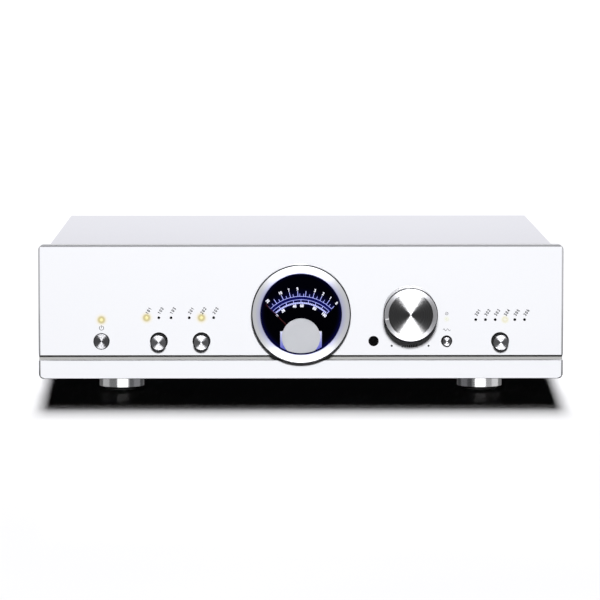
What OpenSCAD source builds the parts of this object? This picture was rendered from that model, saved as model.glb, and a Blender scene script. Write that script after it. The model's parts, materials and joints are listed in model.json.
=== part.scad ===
// Tube preamplifier with a round lit meter, a turned volume knob and push buttons.
// Millimetres. +Z is up, the front panel faces -Y and +X is to the right of someone in front of it.
// The origin is under the middle of the whole object, on the surface that it stands on.

/* [Front panel] */
// Width of the front panel
panel_w = 430; // [420:1:460]
// Height of the front panel
panel_h = 110; // [104:1:130]
// Thickness of the front panel
panel_t = 12; // [12:0.5:16]
// Corner radius of the front panel
panel_corner_r = 4.4; // [2:0.2:8]
// Chamfer along the upper edge and the ends of the front panel's face
panel_edge = 1.5; // [0.4:0.1:2]
// Chamfer along the lower edge of the front panel's face
panel_foot_edge = 0.4; // [0.2:0.1:2]
// Groove's lower edge above the panel's lower edge
groove_z = 15; // [10:0.2:16]
// Height of the groove
groove_h = 4.5; // [2:0.1:5.5]
// Depth of the groove
groove_depth = 7.5; // [1:0.5:9]
// Panel's lower edge above the surface that the feet stand on
panel_lift = 12.2; // [8:0.2:20]

/* [Case] */
// From the front panel's face to the rear panel's outer face
case_depth = 338; // [325:1:400]
// Width over the side panels
case_w = 412; // [408:1:418]
// Thickness of the side panels
side_t = 3; // [2:0.5:4]
// Thickness of the top cover and its rear lip
top_t = 2; // [1.5:0.1:3]
// Thickness of the bottom plate
bottom_t = 2; // [1.5:0.1:3]
// Thickness of the rear panel
rear_t = 2; // [1.5:0.1:3]
// Thickness of the sub-panel behind the front panel
sub_t = 2; // [1.5:0.1:3]
// Cover's top below the panel's upper edge
cover_drop = 0.8; // [0.2:0.1:4]
// Underside of the bottom plate above the panel's lower edge
floor_rise = 2; // [0:0.5:5]
// Height of the top cover's rear lip
lip_h = 12; // [9:0.5:18]
// Tongue of the top cover in the front panel's slot
tongue = 3; // [1:0.5:4]
// Side of the square corner posts
post_s = 10; // [9:0.5:14]
// Radius of the case screws
screw_r = 1.5; // [1.2:0.1:2]
// Length of the case screws under the head
screw_l = 8; // [6:0.5:8]
// Radius of the screws that hold the front panel
panel_screw_r = 2; // [1.5:0.1:2.5]
// Depth that the panel screws reach into the front panel
panel_screw_grip = 7; // [4:0.5:8]
// Distance between the rear lip screws
lip_screw_pitch = 124; // [80:1:140]
// Side and floor screws from the ends of a post
screw_inset = 14; // [12:0.5:16]
// Rear and panel screws from the ends of a post
screw_step = 27; // [24:0.5:30]
// Number of vent slots in each side panel
vent_n = 12; // [4:1:16]
// Width of a vent slot
vent_w = 3; // [2:0.2:4]
// Height of a vent slot
vent_h = 46; // [20:1:60]
// Distance from one vent slot to the next
vent_pitch = 9; // [7:0.5:12]

/* [Feet] */
// Diameter of a foot
foot_d = 37; // [34:0.5:44]
// Distance of the feet from the middle of the case
foot_x = 148.5; // [140:0.5:160]
// Front feet behind the panel's face
foot_front = 41; // [36:0.5:60]
// Rear feet before the rear panel
foot_rear = 45; // [36:0.5:70]
// Diameter of the rubber pad
pad_d = 28; // [22:0.5:30]
// Rubber pad below the foot
pad_proud = 2; // [0.4:0.1:3]
// Depth of the pad's seat in the foot
pad_seat = 3; // [2.6:0.2:4]
// Chamfer of the foot's lower edge
foot_edge = 0.4; // [0.3:0.1:2]
// Radius of the hole in the rubber pad
pad_hole_r = 5.5; // [5:0.1:8]
// Radius of the foot screws
foot_screw_r = 2; // [1.5:0.1:2.5]

/* [Meter] */
// Meter's centre below the middle of the panel
meter_drop = 0.8; // [0:0.1:2]
// Diameter of the bezel
bezel_d = 81.5; // [80:0.5:88]
// Diameter of the window
window_d = 66; // [64:0.5:67]
// Bezel in front of the panel's face
bezel_out = 11; // [9:0.5:14]
// Chamfer of the bezel's outer edge
bezel_edge = 0.8; // [0.4:0.1:2]
// Slope of the bezel's inner edge
bezel_lip = 0.8; // [0.4:0.1:2.5]
// Diameter of the lens and of the meter's can
lens_d = 68; // [67.5:0.5:70]
// Thickness of the lens
lens_t = 2; // [1.5:0.1:3]
// Lens's front in front of the panel's face
lens_set = 7; // [6:0.5:8]
// Wall of the can
can_wall = 1.4; // [1:0.1:1.8]
// Back of the can behind the panel's face
can_depth = 34; // [30:1:50]
// Room between the lens and the pivot cover
lens_gap = 0.8; // [0.4:0.1:1.5]
// Thickness of the pivot cover
pivot_cover_t = 1.6; // [1:0.1:2.4]
// Radius of the pivot cover
pivot_cover_r = 15.6; // [14.5:0.1:16.5]
// Pivot cover's centre below the window's centre
pivot_cover_drop = 19.7; // [18.5:0.1:21]
// Length of the light guides from the dial to the pivot cover
guide_l = 3.8; // [3.4:0.1:6]
// Outer edge of the light guides from the middle
guide_x = 17; // [16:0.1:18]
// Width of a light guide
guide_w = 4.5; // [4:0.1:6]
// Upper end of the light guides below the window's centre
guide_drop = 15.1; // [14.5:0.1:17.5]
// Thickness of the dial plate
dial_t = 1; // [0.6:0.1:2]
// Needle's pivot below the window's centre
pivot_drop = 21.7; // [21:0.1:22.4]
// Length of the needle from its pivot
needle_l = 40; // [36:0.5:41]
// Length of the needle's tail
needle_tail = 7; // [5:0.2:7.5]
// Width of the needle at its hub
needle_w = 1.1; // [0.8:0.1:1.6]
// Thickness of the needle
needle_t = 0.5; // [0.3:0.1:0.8]
// Angle of the needle at rest from straight up
needle_rest = -45; // [-45:1:45]
// Radius of the needle's hub
hub_r = 2.2; // [1.6:0.1:3]
// Radius of the needle's counterweight
weight_r = 1.5; // [1:0.1:2]
// Radius of the needle's spindle
spindle_r = 0.75; // [0.5:0.05:1]
// Radius of the movement
movement_r = 9; // [7:0.5:9.5]
// Length of the movement
movement_l = 22; // [16:0.5:24]
// Metal behind the spindle's bore
movement_end = 2; // [1:0.1:3]
// Radius of the bezel screws
bezel_screw_r = 1.25; // [1:0.05:1.4]
// Seat of the bezel screws behind the panel's face
bezel_screw_seat = 5.4; // [4:0.1:8]
// Reach of the bezel screws into the bezel
bezel_screw_grip = 5; // [3:0.5:6]
// Width of the lamp board behind the dial
lamp_board_w = 40; // [30:0.5:46]
// Height of the lamp board behind the dial
lamp_board_h = 16; // [12:0.5:20]

/* [Volume control] */
// Place of the volume knob across the panel
volume_x = 89; // [88:0.5:92]
// Diameter of the knob
knob_d = 43.6; // [40:0.2:46]
// Knob's face in front of the panel
knob_out = 27; // [24:0.5:32]
// Gap between the knob and the panel
knob_gap = 1; // [0.5:0.1:2]
// Radius of the sunk disc in the knob's face
knob_disc_r = 18; // [15:0.2:18.4]
// Depth of the sunk disc
knob_disc_depth = 0.4; // [0.2:0.1:1]
// Chamfer of the knob's edges
knob_edge = 0.8; // [0.3:0.1:1.4]
// Metal in front of the knob's bore
knob_bore_end = 7; // [4:0.5:10]
// Angle of the pointer slot from straight up
pointer_angle = -100; // [-150:1:150]
// Width of the pointer slot
pointer_w = 1.2; // [0.6:0.1:2]
// Depth of the pointer slot
pointer_depth = 0.4; // [0.2:0.1:0.8]
// Grub screw in front of the knob's rear face
grub_set = 6; // [4:0.2:8]
// Radius of the grub screw
grub_r = 1.5; // [1:0.1:2]
// Length of the grub screw
grub_l = 6; // [4:0.5:9]
// Radius of the volume shaft
shaft_r = 3; // [2.5:0.1:3.2]
// Radius of the potentiometer's threaded bush
bush_r = 4.5; // [4.2:0.1:5.5]
// Length of the bush in front of the sub-panel
bush_l = 6; // [4:0.5:8]
// Across the corners of the bush nut
nut_d = 14; // [12.5:0.5:16]
// Thickness of the bush nut
nut_t = 2.5; // [2:0.1:3.5]
// Side of the square potentiometer
pot_s = 30; // [29:0.5:32]
// Depth of the potentiometer
pot_l = 22; // [16:0.5:30]
// Teeth of the gear on the shaft
gear_teeth = 36; // [34:1:36]
// Teeth of the pinion on the motor
pinion_teeth = 12; // [12:1:14]
// Tooth size, pitch diameter for each tooth
gear_module = 0.8; // [0.7:0.02:0.8]
// Pressure angle of the teeth
pressure_angle = 25; // [22:1:27]
// Width of the gears
gear_w = 4; // [3:0.5:5]
// Room for the gears behind the potentiometer
gear_room = 10; // [8:0.5:14]
// Thickness of the motor plate
motor_plate_t = 2; // [1.5:0.1:3]
// Radius of the motor
motor_r = 10; // [8:0.5:12]
// Length of the motor
motor_l = 26; // [20:0.5:36]
// Radius of the motor's shaft
motor_shaft_r = 1; // [0.8:0.05:1.5]
// Motor's shaft inside the motor
motor_shaft_grip = 13; // [8:0.5:18]
// Radius of the pillars that carry the motor plate
pillar_r = 1.6; // [1.2:0.1:2]

/* [Buttons] */
// Height of the button row above the panel's lower edge
row_h = 31; // [29:0.5:33]
// Power button from the left side panel
power_side = 39.6; // [37:0.2:43]
// Place of the left selector button
left_x = -116.4; // [-118:0.2:-114]
// Place of the centre selector button
centre_x = -81.5; // [-84:0.5:-78]
// Place of the tone button
tone_x = 119.4; // [119:0.2:122]
// Input button from the right side panel
input_side = 39.8; // [39.6:0.2:43]
// Diameter of the large buttons
button_d = 13.2; // [11:0.1:14]
// Diameter of the tone button
tone_d = 7.8; // [6.6:0.1:8.6]
// Chamfer of the buttons' faces
button_edge = 0.55; // [0.2:0.05:1]
// Large momentary buttons in front of the panel
button_out = 12; // [6:0.5:14]
// Tone button in front of the panel
tone_out = 4.5; // [3:0.5:8]
// Power button in front of the panel when it is latched in
power_out = 1.6; // [1.2:0.1:3]
// Wall of the black sleeves
sleeve_wall = 0.6; // [0.4:0.05:1]
// Length of the sleeves inside the panel
sleeve_l = 7; // [5:0.2:7.2]
// Sleeves in front of the panel
sleeve_proud = 0.2; // [0:0.1:0.6]
// Thickness of the buttons' rear flanges
flange_t = 1.2; // [0.8:0.1:1.5]
// Step of the buttons' rear flanges
flange_step = 0.5; // [0.3:0.05:0.55]
// Step of the power button's rear flange
power_flange_step = 1.2; // [0.8:0.1:1.6]
// Counterbore for the power button's flange behind the panel's face
power_counter = 5; // [4:0.1:6]
// Radius of the buttons' stems
stem_r = 2.5; // [1.8:0.1:2.8]
// Travel of the momentary buttons
button_travel = 1.5; // [0.5:0.1:2]
// Power button's travel out when it is released
power_release = 3; // [2:0.1:3]
// Power button's travel in past its latch
power_press = 0.8; // [0.4:0.1:1]
// Momentary buttons' stems inside their switches
stem_grip = 3.2; // [2:0.1:4]
// Power button's stem inside its switch
power_stem_grip = 8; // [5:0.5:12]
// Side of the square momentary switches
switch_s = 12; // [9:0.5:13]
// Depth of the momentary switches
switch_l = 8; // [7.5:0.1:8.5]
// Side of the square power switch
power_switch_s = 16; // [12:0.5:18]
// Depth of the power switch
power_switch_l = 28; // [20:0.5:36]

/* [Lamps and remote eye] */
// Radius of a lamp
lamp_r = 1.1; // [0.8:0.05:1.4]
// Step of a lamp's base
lamp_base_step = 0.4; // [0.3:0.1:0.8]
// Length of a lamp's base
lamp_base_l = 4; // [3:0.5:6]
// Lamps in front of the panel
lamp_proud = 0.4; // [0.2:0.1:1]
// Height of the selector lamps above the panel's lower edge
select_lamp_h = 50.3; // [48:0.1:53]
// Height of the power, tone and input lamps above the panel's lower edge
input_lamp_h = 48.6; // [48:0.1:53]
// Distance from one selector lamp to the next
select_pitch = 10; // [8:0.1:10.4]
// Distance from one input lamp to the next
input_pitch = 8; // [6:0.1:8.4]
// Number of lamps over a selector button
select_n = 3; // [2:1:3]
// Number of lamps over the input button
input_n = 6; // [2:1:6]
// Place of the remote eye
remote_x = 59.5; // [58:0.5:61]
// Radius of the remote eye
remote_r = 4.2; // [3.6:0.1:4.8]
// Ledge behind the remote eye's window
remote_ledge = 1; // [0.6:0.1:1.6]
// Thickness of the remote eye's window
remote_t = 3; // [2:0.5:4]
// Side of the square receiver
receiver_s = 10; // [9:0.5:12]
// Depth of the receiver
receiver_l = 6; // [4:0.5:8]

/* [Rear panel] */
// Number of jack columns
jack_n = 7; // [2:1:7]
// Distance from one jack column to the next
jack_pitch = 30; // [24:0.5:32]
// Distance from one jack row to the other
jack_rows = 26; // [20:0.5:30]
// Jacks behind the rear panel
jack_out = 13; // [11:0.5:18]
// Radius of a jack's barrel
jack_r = 4.15; // [4:0.05:4.4]
// Radius of a jack's collar
jack_collar_r = 6; // [5.5:0.1:7]
// Thickness of a jack's collar
jack_collar_t = 2.5; // [1.5:0.1:3.5]
// Radius of a jack's thread
jack_thread_r = 3.8; // [3.2:0.1:4.4]
// Length of a jack inside the case
jack_inside = 10; // [6:0.5:14]
// Radius of a jack's pin hole
jack_bore_r = 1.65; // [1.6:0.01:1.75]
// Depth of a jack's pin hole
jack_bore_l = 9; // [7:0.5:10]
// Radius of a jack's insulator
insulator_r = 3.2; // [2.6:0.1:3.5]
// Thickness of a jack's insulator
insulator_t = 1; // [0.6:0.1:2]
// Mains inlet from the left side panel
inlet_side = 53; // [47:0.5:59]
// Width of the inlet's flange
inlet_w = 31; // [30:0.5:36]
// Height of the inlet's flange
inlet_h = 48; // [47:0.5:54]
// Thickness of the inlet's flange
inlet_flange_t = 2.5; // [1.5:0.1:3.5]
// Flange of the inlet round its body
inlet_rim = 1.5; // [1:0.1:2.5]
// Depth of the inlet inside the case
inlet_l = 24; // [22:0.5:30]
// Width of the inlet's socket and of its drawer pocket
socket_w = 24.2; // [23.5:0.1:25]
// Height of the inlet's socket
socket_h = 16.8; // [16:0.1:17.5]
// Depth of the inlet's socket
socket_l = 17; // [15:0.5:18]
// Bevel of the socket's lower corners
socket_bevel = 5; // [3:0.2:6]
// Socket's centre above the inlet's centre
socket_rise = 11; // [10.5:0.1:11.5]
// Width of a blade in the socket
blade_w = 2; // [1.5:0.1:2.5]
// Height of a blade in the socket
blade_h = 4; // [3.5:0.1:4.2]
// Distance between the two outer blades
blade_pitch = 14; // [12:0.5:15]
// Rise of the middle blade over the outer ones
blade_rise = 4; // [3:0.1:4.2]
// Outer blades above the socket's centre
blade_lift = 0; // [-0.5:0.1:0.5]
// Tips of the blades below the inlet's face
blade_tip = 4; // [2:0.5:6]
// Height of the fuse drawer's pocket
drawer_h = 12; // [9:0.5:13]
// Pocket's centre below the inlet's centre
drawer_drop = 12; // [11.5:0.1:13]
// Depth of the fuse drawer
drawer_l = 22; // [16:0.5:23]
// Fuse drawer behind the inlet's face
drawer_proud = 0.8; // [0.4:0.1:2]
// Height of the drawer's grip
grip_h = 2; // [1:0.1:3]
// Drawer's grip from the drawer's upper edge
grip_inset = 1; // [0.5:0.1:2]
// Drawer's grip behind the drawer's face
grip_out = 1; // [0.5:0.1:2]

/* [Inside] */
// Length of the spacers under the boards
spacer_l = 10; // [9.6:0.1:10.6]
// Radius of the spacers
spacer_r = 2.5; // [2:0.1:3]
// Thickness of the boards
board_t = 1.6; // [1:0.1:2.4]
// Board beside the lamps that it carries
board_margin = 8; // [7:0.5:10]
// Board beside the outermost input lamp
board_end = 6.4; // [6:0.1:7]
// Board round the power lamp
board_rim = 2; // [1:0.1:4]
// Spacers from the edges of the control boards
spacer_edge = 0.8; // [0.5:0.1:1.2]
// Main board from the transformer
main_gap = 20; // [14:0.5:24]
// Depth of the main board
main_d = 190; // [170:1:200]
// Main board from the right side panel
main_side = 19; // [14:0.5:22]
// Main board before the rear panel
main_rear = 34; // [30:1:40]
// Edge of the main board round its spacers
main_inset = 8; // [5:0.5:12]
// Number of tubes
tube_n = 4; // [2:1:4]
// Distance from one tube to the next
tube_pitch = 44; // [34:1:50]
// Tubes before the middle of the main board
tube_y = 20; // [14:1:30]
// Radius of a tube
tube_r = 11; // [9:0.2:12]
// Height of a tube
tube_h = 52; // [40:1:60]
// Wall of a tube's glass
glass_t = 1; // [0.6:0.1:1.5]
// Radius of a tube's plate
plate_r = 6; // [4:0.2:7]
// Height of a tube's plate
plate_h = 32; // [20:1:34]
// Height of a tube socket
tube_socket_h = 10; // [6:0.5:14]
// Edge of a tube socket round its tube
tube_socket_edge = 1.5; // [0.5:0.1:3]
// Thickness of a tube's mica discs
mica_t = 0.6; // [0.4:0.1:1]
// Lower mica disc above the glass
mica_z = 3.8; // [2:0.1:6]
// Number of capacitors in each row
capacitor_n = 4; // [2:1:4]
// Radius of a filter capacitor
filter_r = 12.5; // [10:0.5:15]
// Height of a filter capacitor
filter_h = 42; // [30:1:60]
// Distance from one capacitor to the next
capacitor_pitch = 46; // [40:1:52]
// Radius of a coupling capacitor
coupling_r = 7; // [5:0.5:9]
// Length of a coupling capacitor
coupling_l = 30; // [24:1:34]
// Coupling capacitors before the middle of the main board
coupling_y = 65; // [58:1:68]
// Filter capacitors behind the middle of the main board
filter_y = 32; // [28:1:40]
// Width of a relay
relay_w = 10; // [8:0.5:14]
// Depth of a relay
relay_d = 20; // [15:0.5:24]
// Height of a relay
relay_h = 12; // [9:0.5:16]
// Relays from the main board's rear edge
relay_inset = 6; // [4:0.5:10]
// Outer radius of the transformer
core_r = 52; // [44:0.5:56]
// Radius of the transformer's hole
core_hole_r = 16; // [10:0.5:20]
// Height of the transformer
core_h = 46; // [36:0.5:60]
// Rounding of the transformer's windings
core_round = 6; // [2:0.5:8]
// Transformer from the left side panel
core_side = 31; // [27:0.5:35]
// Transformer behind the panel's face
core_y = 190; // [170:1:210]
// Radius of the clamp plate on the transformer
clamp_r = 36; // [28:0.5:42]
// Thickness of the clamp plate
clamp_t = 2; // [1.5:0.1:3]
// Radius of the clamp bolt
clamp_bolt_r = 3; // [2.5:0.1:4]
// Radius of the leads inside the case
lead_r = 2.5; // [2:0.1:3]

/* [Fits] */
// Radial clearance of a shaft, button or spindle that moves
run_fit = 0.05; // [0.02:0.01:0.1]
// Clearance of buttons in their sleeves, for a side
slide_fit = 0.1; // [0.06:0.01:0.15]
// Clearance of pieces that are fixed in a hole
seat_fit = 0.05; // [0.02:0.01:0.15]
// Clearance of screws, cases and plates
loose_fit = 0.2; // [0.1:0.05:0.3]
// Room past the end of a screw, shaft, stem or drawer
end_gap = 0.5; // [0.2:0.1:1]
// Gap between a button's flange and its stop
flange_gap = 0.4; // [0.2:0.1:0.6]
// Room round the stems in the sub-panel
stem_room = 0.5; // [0.3:0.1:1]
// Room round the bush nut
nut_room = 1; // [0.5:0.1:2]
// Backlash of the gears
tooth_play = 0.08; // [0.04:0.01:0.12]
// Clearance of the fuse drawer
drawer_fit = 0.3; // [0.2:0.05:0.4]

/* [Hidden] */
$fn = 64;

// Cuts run this far past the faces that they open, and joined solids this far into each other
cut = 1;
// Screw heads, for each millimetre of the shank's radius
head_wide = 1.75;
head_high = 1.2;
// Gear teeth outside and inside the pitch circle, for each millimetre of tooth size
addendum = 0.8;
dedendum = 1.05;

// Planes along Y
front_y = -(case_depth + jack_out - knob_out) / 2;
rear_y = front_y + case_depth;
panel_back = front_y + panel_t;
sub_back = panel_back + sub_t;

// Heights
panel_top = panel_lift + panel_h;
axis_z = panel_lift + panel_h / 2;
meter_z = axis_z - meter_drop;
row_z = panel_lift + row_h;
select_lamp_z = panel_lift + select_lamp_h;
input_lamp_z = panel_lift + input_lamp_h;
floor_z = panel_lift + floor_rise;
deck_z = floor_z + bottom_t;
cover_z = panel_top - cover_drop;
lid_z = cover_z - top_t;

// Case plates and posts
inner_w = case_w - 2 * side_t;
post_x = inner_w / 2 - post_s / 2;
front_post_y = sub_back + post_s / 2;
rear_post_y = rear_y - rear_t - post_s / 2;
head_r = screw_r * head_wide;
head_h = screw_r * head_high;
panel_head_r = panel_screw_r * head_wide;
panel_head_h = panel_screw_r * head_high;
side_screw_z = [deck_z + screw_inset, lid_z - screw_inset];
end_screw_z = [deck_z + screw_step, lid_z - screw_step];
lip_screw_x = [-lip_screw_pitch, 0, lip_screw_pitch];
lip_screw_z = cover_z - lip_h / 2 - top_t;
vent_y = rear_y - foot_rear - vent_n * vent_pitch;

// Feet
foot_ys = [front_y + foot_front, rear_y - foot_rear];
foot_head_r = foot_screw_r * head_wide;
foot_head_h = foot_screw_r * head_high;

// Meter, as distances behind the panel's face
bezel_r = bezel_d / 2;
window_r = window_d / 2;
lens_r = lens_d / 2;
can_r = lens_r;
can_inner_r = can_r - can_wall;
bezel_bore_r = can_r + seat_fit;
lens_back = lens_t - lens_set;
pivot_cover_front = lens_back + lens_gap;
pivot_cover_back = pivot_cover_front + pivot_cover_t;
dial_front = pivot_cover_back + guide_l;
dial_back = dial_front + dial_t;
needle_mid = pivot_cover_back + guide_l / 2;
hub_l = guide_l / 2;
movement_bore_end = dial_back + movement_l - movement_end;
spindle_end = movement_bore_end - end_gap;
pivot_z = meter_z - pivot_drop;
meter_inner_r = can_inner_r - seat_fit;
bezel_screw_ring = (bezel_bore_r + bezel_r) / 2;
bezel_screw_angles = [90, 210, 330];
bezel_head_r = bezel_screw_r * head_wide;
bezel_head_h = bezel_screw_r * head_high;

// Volume control, as distances behind the panel's face
knob_r = knob_d / 2;
bore_front = knob_bore_end - knob_out;
shaft_front = bore_front + end_gap;
grub_at = -knob_gap - grub_set;
pot_front = panel_t + sub_t;
pot_back = pot_front + pot_l;
motor_plate_front = pot_back + gear_room;
motor_plate_back = motor_plate_front + motor_plate_t;
gear_front = pot_back + (gear_room - gear_w) / 2;
nut_hole_r = nut_d / 2 + nut_room;
gear_pitch_r = gear_module * gear_teeth / 2;
pinion_pitch_r = gear_module * pinion_teeth / 2;
tooth_out = gear_module * addendum;
tooth_in = gear_module * dedendum;
gear_centres = gear_pitch_r + pinion_pitch_r + tooth_play;
motor_z = axis_z - gear_centres;
pillar_at = pot_s / 2 - pillar_r;

// Buttons, as distances behind the panel's face
button_r = button_d / 2;
tone_r = tone_d / 2;
stem_hole_r = stem_r + stem_room;
switch_back = pot_front + spacer_l;
switch_front = switch_back - switch_l;
stem_end = switch_front + stem_grip;
stem_well = stem_end + button_travel + end_gap;
flange_front = sleeve_l + flange_gap;
power_x = power_side - inner_w / 2;
input_x = inner_w / 2 - input_side;
power_flange_r = button_r + power_flange_step;
power_flange_front = power_counter + power_release + flange_gap;
power_stem_end = pot_front + power_stem_grip;
power_well = power_stem_end + power_press + end_gap;
momentary = [[left_x, button_r], [centre_x, button_r], [tone_x, tone_r], [input_x, button_r]];

// Lamps, each as its place across the panel, its height and whether it is lit in use
lamp_base_r = lamp_r + lamp_base_step;
function lamp_row(x, n, pitch, z, lit) =
    [for (i = [0 : n - 1]) [x + (i - (n - 1) / 2) * pitch, z, i == lit]];
lamps = concat(
    [[power_x, input_lamp_z, true], [tone_x, input_lamp_z, true]],
    lamp_row(left_x, select_n, select_pitch, select_lamp_z, 0),
    lamp_row(centre_x, select_n, select_pitch, select_lamp_z, 1),
    lamp_row(input_x, input_n, input_pitch, input_lamp_z, 3));

// Transformer, main board and the jacks behind it
core_x = core_side + core_r - inner_w / 2;
main_left = core_x + core_r + main_gap;
main_right = inner_w / 2 - main_side;
main_w = main_right - main_left;
main_x = (main_left + main_right) / 2;

// Rear panel
jack_xs = [for (i = [0 : jack_n - 1]) main_x + (i - (jack_n - 1) / 2) * jack_pitch];
jack_zs = [axis_z - jack_rows / 2, axis_z + jack_rows / 2];
inlet_x = inlet_side - inner_w / 2;
inlet_z = axis_z;
inlet_body_w = inlet_w - 2 * inlet_rim;
inlet_body_h = inlet_h - 2 * inlet_rim;
inlet_face = rear_y + inlet_flange_t;
socket_z = inlet_z + socket_rise;
socket_floor = inlet_face - socket_l;
drawer_z = inlet_z - drawer_drop;
drawer_w = socket_w;
blades = [
    [-blade_pitch / 2, blade_lift],
    [0, blade_lift + blade_rise],
    [blade_pitch / 2, blade_lift]];

// Boards
left_board = [left_x - select_pitch - board_margin, centre_x + select_pitch + board_margin];
right_board = [tone_x - board_margin, input_x + (input_n - 1) / 2 * input_pitch + board_end];
spacer_inset = spacer_r + spacer_edge;
board_low = row_z - switch_s / 2 - 2 * spacer_inset;
board_high = select_lamp_z + lamp_base_r + 2 * spacer_inset;
board_front = front_y + switch_back;
main_y = rear_y - main_rear - main_d / 2;
main_z = deck_z + spacer_l;
main_top = main_z + board_t;
tube_xs = [for (i = [0 : tube_n - 1]) main_x + (i - (tube_n - 1) / 2) * tube_pitch];
capacitor_xs = [for (i = [0 : capacitor_n - 1]) main_x + (i - (capacitor_n - 1) / 2) * capacitor_pitch];
tube_base_z = main_top + tube_socket_h;
tube_floor = 2 * glass_t;
tube_spots = [for (x = tube_xs) [x, main_y - tube_y, 0]];
core_spot = [core_x, front_y + core_y, 0];

// Routes of the leads inside the case
lead_x = -inner_w / 2 + post_s + 9;
mains_route = [
    [inlet_x, rear_y - inlet_l, inlet_z],
    [inlet_x, rear_y - inlet_l - 10, inlet_z],
    [inlet_x - 12, rear_y - inlet_l - 22, inlet_z - 8],
    [lead_x, rear_y - inlet_l - 40, inlet_z - 22],
    [lead_x, front_y + 160, inlet_z - 28],
    [lead_x, front_y + 90, inlet_z - 28],
    [power_x, front_y + pot_front + power_switch_l + 22, row_z - 4],
    [power_x, front_y + pot_front + power_switch_l + 10, row_z],
    [power_x, front_y + pot_front + power_switch_l, row_z]];
signal_route = [
    [input_x - 20, board_front + board_t, row_z + 9],
    [input_x - 20, board_front + board_t + 10, row_z + 9],
    [input_x - 22, board_front + board_t + 24, row_z + 14],
    [input_x - 24, board_front + board_t + 36, row_z + 14],
    [input_x - 25, main_y - main_d / 2 + 9, main_top + 16],
    [input_x - 25, main_y - main_d / 2 + 12, main_top + 8],
    [input_x - 25, main_y - main_d / 2 + 12, main_top]];
lead_sides = 8;

// Shared shapes

// Box between two corners
module slab(low, high) {
    translate(low) cube(high - low);
}

// Children stand on the panel at x and z, with their own Z running back from its face
module on_panel(x, z, behind = 0) {
    translate([x, front_y + behind, z]) rotate([-90, 0, 0]) children();
}

// Children stand at x and z with their own Z running out of the rear panel
module on_rear(x, z, out = 0) {
    translate([x, rear_y + out, z]) rotate([-90, 0, 0]) children();
}

// Children at each corner post, as sides -1 and 1
module at_posts(y) {
    for (side = [-1, 1]) translate([side * post_x, y, 0]) children();
}

// Rectangle with round corners, about its centre
module round_rect(w, h, r) {
    square([w - 2 * r, h], center = true);
    square([w, h - 2 * r], center = true);
    for (x = [-1, 1], y = [-1, 1]) translate([x * (w / 2 - r), y * (h / 2 - r)]) circle(r);
}

// Screw with a round head: the head sits above Z = 0 and the shank runs down
module round_screw(r, l, top_r, top_h) {
    cylinder(r = top_r, h = top_h);
    translate([0, 0, -l]) cylinder(r = r, h = l);
}

// Hole for a screw of the same line
module screw_hole(r, l) {
    translate([0, 0, -l]) cylinder(r = r, h = 2 * l);
}

// Children at every case screw, with their own Z pointing out of the case
module at_side_screws(side) {
    for (y = [front_post_y, rear_post_y], z = side_screw_z)
        translate([side * case_w / 2, y, z]) rotate([0, side * 90, 0]) children();
}
module at_floor_screws() {
    for (y = [front_post_y, rear_post_y])
        at_posts(y) translate([0, 0, floor_z]) rotate([180, 0, 0]) children();
}
module at_rear_screws() {
    for (side = [-1, 1], z = end_screw_z) on_rear(side * post_x, z) children();
}
module at_lip_screws() {
    for (x = lip_screw_x) on_rear(x, lip_screw_z, top_t) children();
}
module at_panel_screws() {
    for (side = [-1, 1], z = end_screw_z) translate([side * post_x, sub_back + post_s, z])
        rotate([-90, 0, 0]) children();
}
module at_feet() {
    for (side = [-1, 1], y = foot_ys) translate([side * foot_x, y, 0]) children();
}
module at_bezel_screws(behind) {
    for (a = bezel_screw_angles)
        on_panel(bezel_screw_ring * cos(a), meter_z + bezel_screw_ring * sin(a), behind) children();
}

// Plate of the case that stands between the side panels
module standing_plate(y, t) {
    slab([-inner_w / 2 + loose_fit, y, deck_z], [inner_w / 2 - loose_fit, y + t, lid_z]);
}

// Involute gear, with a tooth that points along +X
function roll_angle(r, base) = let (t = sqrt(max(pow(r / base, 2) - 1, 0))) t * 180 / PI - atan(t);
function tooth_half(r, pitch, n) =
    let (base = pitch * cos(pressure_angle))
    90 / n - tooth_play / pitch * 90 / PI + roll_angle(pitch, base) - roll_angle(max(r, base), base);
module spur_gear(n) {
    pitch = gear_module * n / 2;
    flank = [pitch - tooth_in, pitch - tooth_in / 2, pitch, pitch + tooth_out / 2, pitch + tooth_out];
    last = len(flank) - 1;
    points = [for (i = [0 : n - 1], k = [-last - 1 : last])
        let (r = flank[k < 0 ? k + last + 1 : last - k])
        let (a = i * 360 / n + (k < 0 ? -1 : 1) * tooth_half(r, pitch, n))
        r * [cos(a), sin(a)]];
    linear_extrude(gear_w) polygon(points);
}

// Lead swept along a route, each ring square to the route there
function unit(v) = v / norm(v);
function heading(route, i) =
    unit(route[min(i + 1, len(route) - 1)] - route[max(i - 1, 0)]);
function ring(route, i, r) =
    let (ahead = heading(route, i))
    let (side = unit(cross(ahead, abs(ahead[2]) > 0.9 ? [1, 0, 0] : [0, 0, 1])))
    let (up = cross(side, ahead))
    [for (k = [0 : lead_sides - 1])
        let (a = k * 360 / lead_sides) route[i] + r * (cos(a) * side + sin(a) * up)];
module lead(route, r) {
    n = lead_sides;
    rings = len(route);
    points = [for (i = [0 : rings - 1]) each ring(route, i, r)];
    walls = [for (i = [0 : rings - 2], k = [0 : n - 1]) each
        let (a = i * n + k, b = i * n + (k + 1) % n) [[a, b, b + n], [a, b + n, a + n]]];
    ends = [[for (k = [n - 1 : -1 : 0]) k], [for (k = [0 : n - 1]) (rings - 1) * n + k]];
    polyhedron(points, concat(walls, ends), convexity = 4);
}

// Casework

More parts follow.
